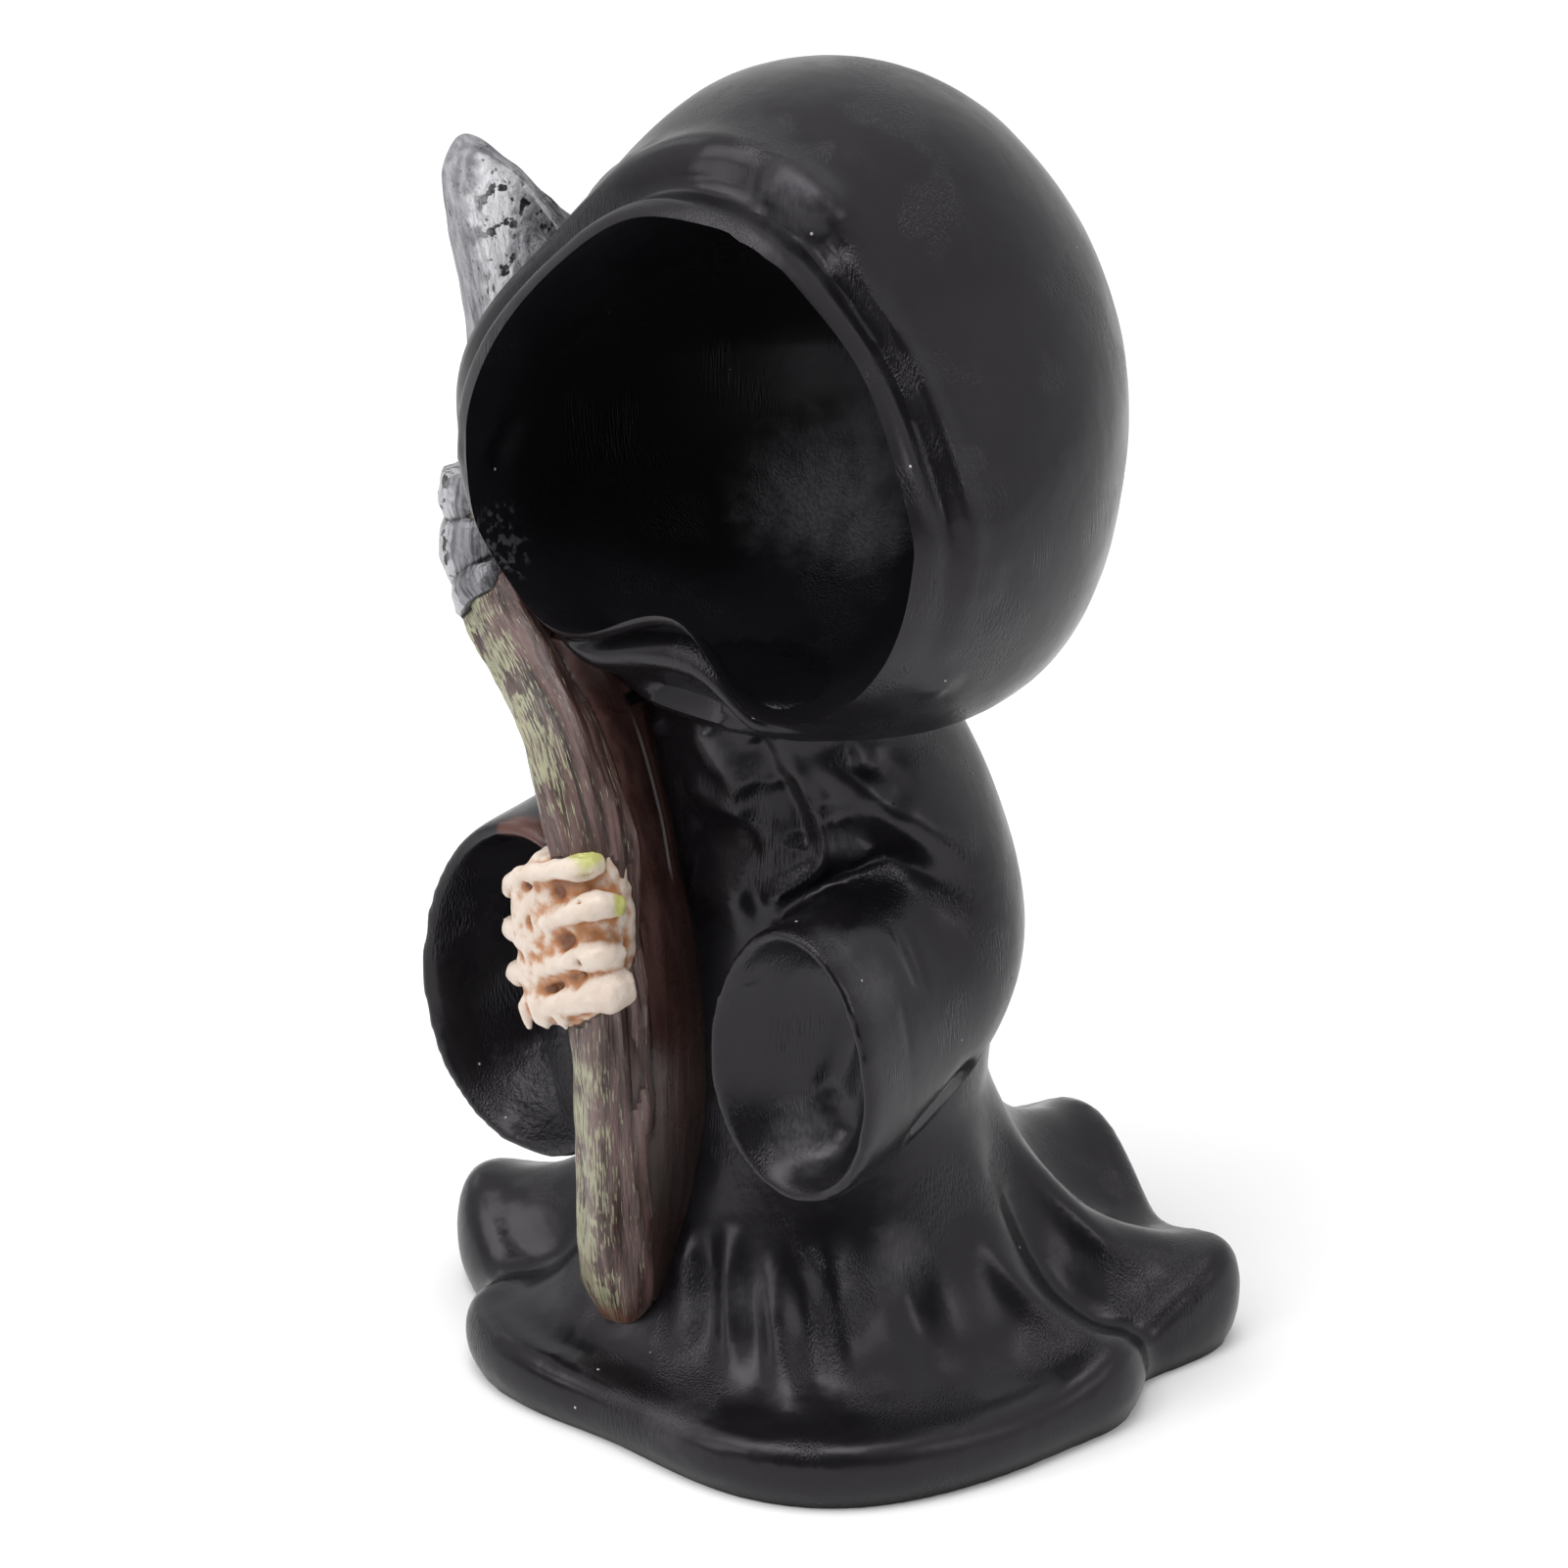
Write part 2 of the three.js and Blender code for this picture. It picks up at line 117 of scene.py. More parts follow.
@contextlib.contextmanager
def edit_mode(piece, action="SELECT"):
    """Edit mode on one piece, with all of it selected, or none of it with DESELECT."""
    pick(piece)
    bpy.ops.object.mode_set(mode="EDIT")
    bpy.ops.mesh.select_all(action=action)
    yield
    bpy.ops.object.mode_set(mode="OBJECT")


# %% The floor
FLOOR_SIZE, FLOOR_BORDER = 6, 0.5
pick(None)
bpy.ops.mesh.primitive_plane_add(size=FLOOR_SIZE)
floor = bpy.context.object
floor.name = "studio_floor"
with edit_mode(floor):
    bpy.ops.mesh.inset(thickness=FLOOR_BORDER)
floor_paper = bpy.data.materials.new("floor_paper")
floor_paper.use_nodes = True
paper = floor_paper.node_tree.nodes["Principled BSDF"].inputs
paper["Base Color"].default_value = (0.9, 0.9, 0.9, 1)
paper["Roughness"].default_value = 0.9
floor.data.materials.append(floor_paper)
print("floor laid,", FLOOR_SIZE, "m square")

# %% [markdown]
# Black resin shows its room more than its own colour. The room is pale all round, which lifts
# every edge that turns away, but dim where the camera stands, so that the forms that face it
# stay dark. Large soft boxes make the few clear glints: one overhead mirrors on the crown.


# %% The lights
def softbox(name, turn, rise, distance, size, radiance):
    """A rectangular area light at a turn and rise, aimed at the middle of the figure."""
    way = heading(turn, rise)
    data = bpy.data.lights.new(name, "AREA")
    data.shape = "RECTANGLE"
    data.size, data.size_y = size
    data.energy = radiance * math.pi * size[0] * size[1]
    lamp = bpy.data.objects.new(name, data)
    bpy.context.scene.collection.objects.link(lamp)
    lamp.location = VIEW_TARGET + way * distance
    lamp.rotation_euler = way.to_track_quat("Z", "Y").to_euler()


softbox("overhead_box", 20, 80, 0.62, (0.36, 0.36), 4.8)
softbox("front_left_box", -18, 50, 0.66, (0.40, 0.38), 3.5)
softbox("left_box", -95, 36, 0.66, (0.20, 0.24), 1.0)
softbox("right_box", 92, 26, 0.66, (0.16, 0.24), 2.6)
softbox("low_left_box", -20, 19, 0.66, (0.24, 0.18), 3.8)

ROOM_BRIGHT, ROOM_DIM = 0.95, 0.10
DIM_FROM, DIM_TO = 0.10, 0.80
DIM_MIDDLE = Vector((math.sin(0.4), -math.cos(0.4), -0.1)).normalized()
world = bpy.data.worlds.new("pale_room")
world.use_nodes = True
room = world.node_tree
way_node = room.nodes.new("ShaderNodeTexCoord")
facing = room.nodes.new("ShaderNodeVectorMath")
facing.operation = "DOT_PRODUCT"
facing.inputs[1].default_value = DIM_MIDDLE
room.links.new(way_node.outputs["Generated"], facing.inputs[0])
fade_to_camera = room.nodes.new("ShaderNodeMapRange")
fade_to_camera.interpolation_type = "SMOOTHSTEP"
fade_values = (DIM_FROM, DIM_TO, ROOM_BRIGHT, ROOM_DIM)
for socket, value in zip(fade_to_camera.inputs[1:5], fade_values):
    socket.default_value = value
room.links.new(facing.outputs["Value"], fade_to_camera.inputs[0])
room.links.new(fade_to_camera.outputs[0], room.nodes["Background"].inputs["Strength"])
room.nodes["Background"].inputs["Color"].default_value = (1, 1, 1, 1)
bpy.context.scene.world = world
bpy.context.scene.view_settings.view_transform = "Standard"
print("five soft boxes and a pale room, dim behind the camera")

# %% [markdown]
# ## Tools of the bench
#
# Blanks are modelled in millimetres, which keeps every number readable, and the finished
# figure is shrunk into the frame's metres once, at the end.
#
# Most blanks are a disc that is extruded again and again, as one pulls up a form by hand. Each
# extruded ring is then set to its section, so that the robe, the sleeves and the staff share
# one tool and differ in their sections alone.


# %% Moving points in bulk
def places(piece):
    """The piece's points as an array, one row each."""
    flat = np.empty(len(piece.data.vertices) * 3)
    piece.data.vertices.foreach_get("co", flat)
    return flat.reshape(-1, 3)


def set_places(piece, points):
    piece.data.vertices.foreach_set("co", np.ascontiguousarray(points, float).ravel())
    piece.data.update()


def normals(piece):
    flat = np.empty(len(piece.data.vertices) * 3, np.float32)
    piece.data.vertex_normals.foreach_get("vector", flat)
    return flat.reshape(-1, 3).astype(float)


def store(piece, name, values):
    """Keeps a number or a vector with every point, for the paints to read."""
    kind, key = ("FLOAT_VECTOR", "vector") if values.ndim == 2 else ("FLOAT", "value")
    kept = piece.data.attributes.new(name, kind, "POINT")
    kept.data.foreach_set(key, np.ascontiguousarray(values, np.float32).ravel())


def turns(count):
    """Angles evenly round a circle, the first of them 0."""
    return np.arange(count) / count * 2 * np.pi


def face_outwards(piece):
    with edit_mode(piece):
        bpy.ops.mesh.remove_doubles(threshold=0.0005)
        bpy.ops.mesh.normals_make_consistent(inside=False)


# %% Pulling a blank up ring by ring
def pull_up(name, rings, grain=None):
    """A closed blank through rings, an array of (ring, point, xyz) in millimetres.

    grain has the same shape and is kept with the points, for paint that follows the form."""
    rings = np.asarray(rings, float)
    count = rings.shape[1]
    pick(None)
    bpy.ops.mesh.primitive_circle_add(vertices=count, radius=1, fill_type="NGON")
    piece = bpy.context.object
    piece.name = name
    with edit_mode(piece):
        for _ in rings[1:]:
            bpy.ops.mesh.extrude_region_move(TRANSFORM_OT_translate={"value": (0, 0, 1)})
    points = places(piece)
    layer = np.rint(points[:, 2]).astype(int)
    share = np.arctan2(points[:, 1], points[:, 0]) / (2 * np.pi)
    around = np.rint(share * count).astype(int) % count
    set_places(piece, rings[layer, around])
    if grain is not None:
        store(piece, "grain", grain[layer, around])
    face_outwards(piece)
    return piece


def wrapped_grain(rows, around, radius, length):
    """Where each point of a rolled-up form lies on a true cylinder, in millimetres."""
    angle = turns(around)
    along = np.repeat(np.linspace(0, length, rows)[:, None], around, 1)
    flat = [np.broadcast_to(radius * part(angle), along.shape) for part in (np.cos, np.sin)]
    return np.stack([*flat, along], 2)


def smooth_through(keys, steps):
    """Rows of numbers eased through the key rows, evenly by row, with the first and last kept."""
    keys = np.asarray(keys, float)
    padded = np.vstack([2 * keys[0] - keys[1], keys, 2 * keys[-1] - keys[-2]])
    at = np.linspace(0, len(keys) - 1, steps)
    index = np.minimum(at.astype(int), len(keys) - 2)
    t = (at - index)[:, None]
    a, b, c, d = (padded[index + k] for k in range(4))
    square, cube = 2 * a - 5 * b + 4 * c - d, 3 * b - a - 3 * c + d
    return 0.5 * (2 * b + (c - a) * t + square * t**2 + cube * t**3)


# %% Fusing, cutting and smoothing
def use_modifier(piece, kind, **settings):
    """Adds a modifier, gives it its settings and applies it."""
    pick(piece)
    made = piece.modifiers.new(kind.lower(), kind)
    for name, value in settings.items():
        setattr(made, name, value)
    bpy.ops.object.modifier_apply(modifier=made.name)


def boolean(piece, other, operation):
    settings = {"object": other, "operation": operation, "solver": "MANIFOLD"}
    use_modifier(piece, "BOOLEAN", material_mode="TRANSFER", **settings)
    bpy.data.objects.remove(other)


def fuse(name, pieces, voxel):
    """Joins overlapping blanks into one body, as clay is pressed together."""
    pick(pieces[0])
    for piece in pieces:
        piece.select_set(True)
    bpy.ops.object.join()
    body = bpy.context.object
    body.name = name
    use_modifier(body, "REMESH", mode="VOXEL", voxel_size=voxel)
    return body


def swell(distance, spread):
    """A smooth swelling: 1 at its middle, fading with the distance over its spread."""
    return np.exp(-((distance / spread) ** 2))


def eased(share):
    """A share from 0 to 1, made to start and stop gently."""
    return share * share * (3 - 2 * share)


# %% [markdown]
# Fine modelling is done in strokes: a line is drawn over the skin, and the points near it rise
# or sink along their normals. A ridge is a rounded fold, a crease is a cut with raised lips, and
# a step is the edge of one cloth lying over another. The distance is taken within the surface,
# so a line need not touch the skin exactly. Narrow strokes need small faces, and so the faces
# under them are split first.


# %% Strokes
STROKE_STEPS = 60


def stroke_shape(kind, gap, side, width):
    """A stroke's profile at a gap from its line. Every number is a share of width or height."""
    if kind == "crease":
        return 0.35 * swell(gap - 2 * width, width) - swell(gap, width)
    if kind == "step":
        return np.where(side > 0, np.exp(-gap / (2.5 * width)), swell(gap, 0.45 * width))
    return swell(gap, width)


def stroke_lift(points, outwards, fade, keys, width, height, kind="ridge"):
    """What one stroke adds to every point, in millimetres along its normal."""
    line = smooth_through(keys, STROKE_STEPS)
    way = np.gradient(line, axis=0)
    reach = 5 * width + 2
    inside = (points > line.min(0) - reach) & (points < line.max(0) + reach)
    near = np.flatnonzero(inside.all(1))
    offset = points[near, None] - line
    out = outwards[near]
    off_skin = np.einsum("nsk,nk->ns", offset, out)
    apart = np.sqrt(np.maximum((offset**2).sum(2) - off_skin**2, 0))
    apart += 0.4 * np.maximum(np.abs(off_skin) - 2, 0)
    nearest = apart.argmin(1)
    each = np.arange(len(near))
    gap = apart[each, nearest]
    side = np.einsum("nk,nk->n", np.cross(way[nearest], out), offset[each, nearest])
    share = nearest / (len(line) - 1)
    ends = np.clip(np.minimum(share, 1 - share) / fade + 0.02, 0, 1)
    facing = out[gap < 2 * width].mean(0)
    same_side = np.clip(out @ (facing / np.linalg.norm(facing)) * 2, 0, 1)
    lift = np.zeros(len(points))
    lift[near] = height * stroke_shape(kind, gap, side, width) * eased(ends) * same_side
    return lift


def draw_strokes(piece, strokes, fade=0.25):
    """Draws every stroke on the skin as it is now, and raises or sinks it by their sum."""
    points, outwards = places(piece), normals(piece)
    total = sum(stroke_lift(points, outwards, fade, *stroke) for stroke in strokes)
    set_places(piece, points + outwards * total[:, None])


def mark_zone(piece, name, zones):
    """A vertex group of the points inside any of the boxes, each given by two corners."""
    points = places(piece)
    inside = np.zeros(len(points), bool)
    for low_corner, high_corner in zones:
        inside |= ((points > low_corner) & (points < high_corner)).all(1)
    zone = piece.vertex_groups.new(name=name)
    zone.add(np.flatnonzero(inside).tolist(), 1, "REPLACE")


def refine(piece, zones):
    """Splits the faces inside the zones in four, so that strokes there can be finer."""
    mark_zone(piece, "fine_zone", zones)
    with edit_mode(piece, "DESELECT"):
        bpy.ops.object.vertex_group_select()
        bpy.ops.mesh.subdivide(number_cuts=1, smoothness=1)
    use_modifier(piece, "SMOOTH", factor=0.5, iterations=12, vertex_group="fine_zone")


def roughen(piece, size, height, seed=0.0):
    """Uneven handwork: gentle dents of the given size over the whole piece."""
    points = places(piece)
    lift = [noise.noise(Vector(point) / size + Vector((seed, 0, 0))) for point in points]
    set_places(piece, points + normals(piece) * (height * np.array(lift))[:, None])


# %% [markdown]
# ## The hood
#
# The head is an empty hood: a ball, drawn narrow at the crown and full at the jaw, whose front
# has been pushed in like clay under a thumb. One closed skin makes it. It is a UV sphere lying
# on its side, with one pole at the back of the ball and the other at the back of the hollow, so
# its rows run along the lip and can be packed close where the lip turns.

# %% The hood's sizes
HOOD_CENTRE = np.array([0, 0, 82.5])
HOOD_RADIUS = 25.6
# The lip's place in front of the centre, and how far the brim slopes in its first millimetres.
HOOD_FRONT, LIP_SLOPE, LIP_WIDTH = -15.5, 0.3, 5
HOOD_AROUND = 232
FACE_SIDE, FACE_MIDDLE = 1.3, -2.4
FACE_HALF_WIDTH, FACE_RISE, FACE_FALL = 20.5, 21.4, 19.4
ARCH_POWER, JAW_POWER = 1.55, 2
JAW_TURN, JAW_PULL, JAW_SPREAD = 238, 1.6, 19
NOTCH_LIFT, NOTCH_MIDDLE, NOTCH_LEFT, NOTCH_RIGHT = 9.2, 0.7, 8.8, 6.1
# The hollow runs straight back from the lip, then closes as a bowl.
HOLLOW_STRAIGHT, HOLLOW_BACK, STRAIGHT_SHARE = -8.5, 17, 0.2
# The grooves and the fold under the turned-up lip: height, distance from the lip and spread.
THROAT_FOLDS = [(-1.8, 2.4, 0.9), (0.8, 5.4, 1.4), (-1.6, 9.6, 2.2)]

# Where the ball is drawn in or swells: direction, height and how tightly it is held.
HOOD_SWELLS = [
    ((0.69, -0.34, 0.57), -4.4, 5),
    ((-0.69, -0.34, 0.57), -4.4, 5),
    ((0.86, -0.5, -0.1), 1.3, 10),
    ((-0.86, -0.5, -0.1), 1.3, 10),
    ((0, 0.53, 0.85), 1.3, 6),
    ((0.71, 0.13, -0.69), 2.5, 8),
    ((-0.71, 0.13, -0.69), 2.5, 8),
    ((-0.78, -0.62, -0.06), 0.6, 16),
]


def hood_reach(way):
    """How far the plain ball reaches from its centre, in each direction."""
    reach = np.full(len(way), HOOD_RADIUS)
    for middle, by, hold in HOOD_SWELLS:
        middle = np.array(middle) / np.linalg.norm(middle)
        reach += by * np.exp(hold * (way @ middle - 1))
    return reach


def rim_line(turn, notch=1.0):
    """The lip's outline from in front, by the turn from straight up: x and height over centre."""
    across, up = np.sin(turn), np.cos(turn)
    power = np.where(up > 0, ARCH_POWER + (2 - ARCH_POWER) * swell(across, 0.35), JAW_POWER)
    scale = (np.abs(across) ** power + np.abs(up) ** power) ** (-1 / power)
    x = FACE_SIDE + FACE_HALF_WIDTH * across * scale
    z = FACE_MIDDLE + np.where(up > 0, FACE_RISE, FACE_FALL) * up * scale
    side = np.where(x < NOTCH_MIDDLE, NOTCH_LEFT, NOTCH_RIGHT)
    lift = NOTCH_LIFT * notch * swell(x - NOTCH_MIDDLE, side)
    jaw = JAW_PULL * swell((np.degrees(turn) - JAW_TURN + 180) % 360 - 180, JAW_SPREAD)
    return x + jaw * across, z + jaw * up + np.where(z < FACE_MIDDLE, lift, 0)


print("the opening is", 2 * FACE_HALF_WIDTH, "mm wide and", FACE_RISE + FACE_FALL, "mm high")

# %% [markdown]
# The lip is the hood's best line. Over the arch it is a rolled edge with a shallow valley
# behind it. Below, it is turned up over the throat like a thick hem, with a groove under it.


# %% The lip's relief
def lip_relief(turn, off):
    """How far the skin stands out, by the turn and the distance behind the lip in millimetres.

    arch, left and right tell where on the lip a point is, from 0 to 1. The roll, the valley
    and the brow each have a height, a distance from the lip and a spread."""
    x, z = rim_line(turn)
    arch = 1 / (1 + np.exp(-0.32 * (z + 3)))
    left = 1 / (1 + np.exp(0.3 * (x + 1)))
    right = 1 / (1 + np.exp(-0.5 * (x - 9)))
    roll = (0.1 + 0.75 * left) * swell(off - 1.6, 1.3)
    middle = 4.6 - 1.4 * right
    spread = np.where(off < middle, 2.6 - 1.5 * right, 1.7 - 0.9 * right)
    valley = -(1.7 - 0.8 * right) * swell(off - middle, spread)
    brow = 0.7 * (1 - right) * swell(off - 8.0, 1.7) + 0.5 * right * swell(off - 5.0, 0.9)
    return arch * (roll + valley + brow)


def throat_relief(turn, off):
    """How far forward the skin under the turned-up lip stands, measured in the same way."""
    x, z = rim_line(turn)
    throat = swell(x + 0.4, 8.5) * (z < FACE_MIDDLE)
    return throat * sum(height * swell(off - place, wide) for height, place, wide in THROAT_FOLDS)


def outside_of_hood(turn, off):
    """Points on the outer skin: the turn picks the meridian, and off is measured from the lip."""
    x, z = rim_line(turn)
    radius, meridian = np.hypot(x, z), np.arctan2(x, z)

    def direction(angle):
        out = np.sin(angle)
        return np.stack([out * np.sin(meridian), -np.cos(angle), out * np.cos(meridian)], 1)

    at_rim = np.arcsin(radius / HOOD_RADIUS)
    for _ in range(3):
        at_rim = np.arcsin(np.minimum(1, radius / hood_reach(direction(at_rim))))
    angle = at_rim + off * (np.pi - at_rim)
    way = direction(angle)
    millimetres = (angle - at_rim) * HOOD_RADIUS
    fade = np.clip((np.pi - angle) / 0.3, 0, 1)
    points = way * (hood_reach(way) + fade * lip_relief(turn, millimetres))[:, None]
    front = HOOD_FRONT + LIP_SLOPE * np.minimum(millimetres, LIP_WIDTH)
    depth = points[:, 1] - front
    points[:, 1] = front + 0.5 * (depth + np.sqrt(depth**2 + 0.6))
    points[:, 1] -= fade * throat_relief(turn, millimetres)
    return points + HOOD_CENTRE


def inside_of_hood(turn, depth):
    """Points on the hollow: depth 0 is at the lip and 1 at the middle of the back."""
    lip = outside_of_hood(turn, np.zeros_like(turn))
    full_x, full_z = rim_line(turn, 0)
    straight = depth < STRAIGHT_SHARE
    share = np.clip(depth / STRAIGHT_SHARE, 0, 1)
    bowl = np.clip((depth - STRAIGHT_SHARE) / (1 - STRAIGHT_SHARE), 0, 1) * np.pi / 2
    along = lip[:, 1] + share * (HOLLOW_STRAIGHT - lip[:, 1])
    y = np.where(straight, along, HOLLOW_STRAIGHT + np.sin(bowl) * (HOLLOW_BACK - HOLLOW_STRAIGHT))
    narrow = np.where(straight, 1 - 0.015 * share, 0.985 * np.cos(bowl))
    blend = eased(share)
    x = (lip[:, 0] * (1 - blend) + full_x * blend) * narrow
    up = (lip[:, 2] - HOOD_CENTRE[2]) * (1 - blend) + full_z * blend
    z = HOOD_CENTRE[2] + FACE_MIDDLE + (up - FACE_MIDDLE) * narrow
    return np.stack([x, y, z], 1)


# %% The hood's skin
def packed(first, growth, most, length):
    """Shares of a length whose steps start small and grow to a largest one."""
    steps = [0.0]
    while steps[-1] < length:
        steps.append(steps[-1] + min(most, first * growth ** (len(steps) - 1)))
    return np.array(steps[1:]) / steps[-1]


outside_rows = packed(first=0.24, growth=1.09, most=1.3, length=54)
inside_rows = packed(first=0.24, growth=1.12, most=1.4, length=44)
skin_rows = len(outside_rows) + len(inside_rows) + 1

pick(None)
bpy.ops.mesh.primitive_uv_sphere_add(segments=HOOD_AROUND, ring_count=skin_rows - 1, radius=1)
hood = bpy.context.object
hood.name = "hood"
ball = places(hood)
row = np.rint(np.arccos(np.clip(ball[:, 2], -1, 1)) / np.pi * (skin_rows - 1)).astype(int)
turn = np.rint(np.arctan2(ball[:, 1], ball[:, 0]) / (2 * np.pi) * HOOD_AROUND)
turn = turn / HOOD_AROUND * 2 * np.pi
lip_row = len(inside_rows)
skin = np.zeros_like(ball)
inner = row < lip_row
depth_of_row = np.concatenate([inside_rows[::-1], [0], outside_rows])
skin[inner] = inside_of_hood(turn[inner], depth_of_row[row[inner]])
skin[~inner] = outside_of_hood(turn[~inner], depth_of_row[row[~inner]])
set_places(hood, skin)
store(hood, "hollow", inner.astype(float))
lip_zone = hood.vertex_groups.new(name="lip")
lip_zone.add(np.flatnonzero(abs(row - lip_row) <= 1).tolist(), 1, "REPLACE")
face_outwards(hood)
use_modifier(hood, "SMOOTH", factor=0.5, iterations=2, vertex_group="lip")
print("hood skin:", len(hood.data.polygons), "faces in", skin_rows, "rows")

# %% [markdown]
# The sculptor's thumb has left a ripple over the brow, a swelling with a slit on the crown, two
# fine creases behind the jaw and a nick in the left of the lip.

# %% Folds and nicks of the hood
# Each stroke: the places it runs through, its width and height, and its kind if not a ridge.
HOOD_STROKES = [
    ([(-14.5, -6.6, 95.6), (-11.6, -7, 98.6), (-9, -7.4, 100.6), (-6.8, -6.6, 102)], 0.9, 0.5),
    ([(-9.4, -10.5, 99.9), (-5.3, -10.7, 102.4), (-2.2, -9.9, 103.8), (0.2, -9.4, 103.9)], 0.9, 0.3),
    ([(3.6, -9.0, 103.2), (6.6, -8.0, 103.0), (9.8, -7.4, 101.0)], 2.4, 1.2),
    ([(6.8, -8.5, 101.9), (9.2, -8.1, 100.1), (11.3, -7.9, 98.2)], 0.6, -0.5),
    ([(24.4, -6.7, 79.1), (24.3, -7.0, 76.8), (24.0, -7.1, 74.4)], 0.6, 0.22, "step"),
    ([(21.9, -7.8, 69.3), (20.7, -8.0, 67.4), (19.3, -8.5, 66.0)], 0.6, 0.22, "step"),
    ([(-20.6, -12.6, 75.6), (-20.8, -10.9, 77.8), (-20.6, -9.5, 79.4)], 0.9, 0.6, "crease"),
    ([(-21.0, -9.5, 74.4), (-21.6, -8.8, 77.4)], 1.0, -0.5),
]
draw_strokes(hood, HOOD_STROKES)
roughen(hood, 8.5, 0.11)
roughen(hood, 3.0, 0.03, 7.0)
print(len(HOOD_STROKES), "strokes on the hood")

# %% [markdown]
# ## The robe and its sleeves
#
# The robe is a slim column that sweeps out into a rippled hem. Each ripple is a lip that
# reaches out and lifts at one place round the hem, so the list of lips is the whole design.

# %% The robe
HEM_MIDDLE, HEM_RADIUS, HEM_HEIGHT = (0.5, 3.5), 28.4, 5.4
# Behind the lip the skirt dips a little: depth, place up the flare and spread.
DIP, DIP_PLACE, DIP_SPREAD = 0.2, 0.16, 0.09
# The hem's edge from below: how far in from its widest, and at what share of its height.
HEM_EDGE = ((1.2, 0), (1.2, 0), (0.5, 0.12), (0.05, 0.35), (0.0, 0.6), (0.3, 0.8), (0.9, 0.94))
ROBE_AROUND, FLARE_RINGS = 180, 26
# Each lip: where it is in degrees, how far it reaches out, how far it lifts, and its spread.
LIPS = [
    (4, 1.2, 1.9, 9),
    (16.5, -0.8, -1.2, 4.5),
    (34, 5.6, 3.4, 11),
    (74, 0.4, 6.4, 18),
    (103, 1.2, 0.6, 10),
    (130, 1.6, 5.0, 16),
    (165, -0.6, -0.4, 12),
    (199, 3.0, 3.9, 13),
    (218, -1.7, -1.4, 7),
    (234, 1.3, 0.3, 15),
    (268, -2.4, -0.5, 20),
    (310, 1.2, 0.4, 20),
]
# The column above the hem: height, half width, half depth and how far back its middle is.
COLUMN = [
    (23.5, 13.8, 13.2, 3.4),
    (31, 14.0, 13.6, 4.0),
    (39, 14.2, 13.4, 3.8),
    (46, 14.0, 12.6, 3.0),
    (50, 13.5, 12.0, 2.2),
    (54, 12.6, 12.0, 1.6),
    (58, 12.0, 12.0, 1.2),
    (62, 12.4, 12.2, 1.0),
]
degrees = np.arange(ROBE_AROUND) / ROBE_AROUND * 360
circle = np.stack([np.cos(np.radians(degrees)), np.sin(np.radians(degrees))], 1)


def lips(what):
    """The sum of what the lips do at each degree: 1 for their reach and 2 for their lift."""
    total = np.zeros(ROBE_AROUND)
    for lip in LIPS:
        total += lip[what] * swell((degrees - lip[0] + 180) % 360 - 180, lip[3])
    return total


def hem_ring(inset, height):
    reach = HEM_RADIUS + lips(1) - inset
    flat = circle * reach[:, None] + HEM_MIDDLE
    return np.column_stack([flat, (HEM_HEIGHT + lips(2)) * height])


def column_ring(high, half_width, half_depth, back):
    flat = circle * (half_width, half_depth) + (0, back)
    return np.column_stack([flat, np.full(ROBE_AROUND, high)])


def robe_blank():
    rings = [hem_ring(*edge) for edge in HEM_EDGE]
    rings[0][:, 2] = -2
    top = hem_ring(1.8, 1)
    for share in np.linspace(0, 0.95, FLARE_RINGS):
        ring = top * (1 - share) + column_ring(*COLUMN[0]) * share
        ring[:, 2] = top[:, 2] * (1 - share**3) + COLUMN[0][0] * share**3
        ring[:, 2] -= DIP * swell(share - DIP_PLACE, DIP_SPREAD)
        rings.append(ring)
    rings += [column_ring(*section) for section in smooth_through(COLUMN, 24)]
    return pull_up("robe", rings)


robe = robe_blank()
print("robe:", len(robe.data.polygons), "faces,", len(LIPS), "lips round the hem")

# %% [markdown]
# The sleeves are bells that open forwards, with a mouth pressed in so shallow that no arm
# would fit. Each is a row of sections: middle, half width, half height, turn and tip. A scoop
# of the same kind is cut out of the mouth before anything is fused.


# %% The sleeves
SLEEVE_AROUND = 64


def section_ring(section):
    """One oval section of a sleeve, turned about the upright and tipped forwards at its top."""
    x, y, z, half_width, half_height, turned, tipped = section
    angle = turns(SLEEVE_AROUND)
    sideways = half_width * np.cos(angle) / (1 + 0.1 * np.sin(angle))
    flat = np.column_stack([sideways, 0 * angle, half_height * np.sin(angle)])
    tip = np.array(Matrix.Rotation(math.radians(tipped), 3, "X"))
    turn_about = np.array(Matrix.Rotation(math.radians(turned), 3, "Z"))
    return flat @ tip.T @ turn_about.T + (x, y, z)


def sleeve(name, sections, scoop):
    bell = pull_up(name, [section_ring(s) for s in smooth_through(sections, 48)])
    cutter = pull_up(name + "_scoop", [section_ring(s) for s in smooth_through(scoop, 24)])
    boolean(bell, cutter, "DIFFERENCE")
    return bell


# The rough lump of resin low in the right mouth.
LINING_PLACE, LINING_SIZE, LINING_LEAN = (-9.8, -10.4, 26.2), (4.9, 5.0, 8.0), -0.3

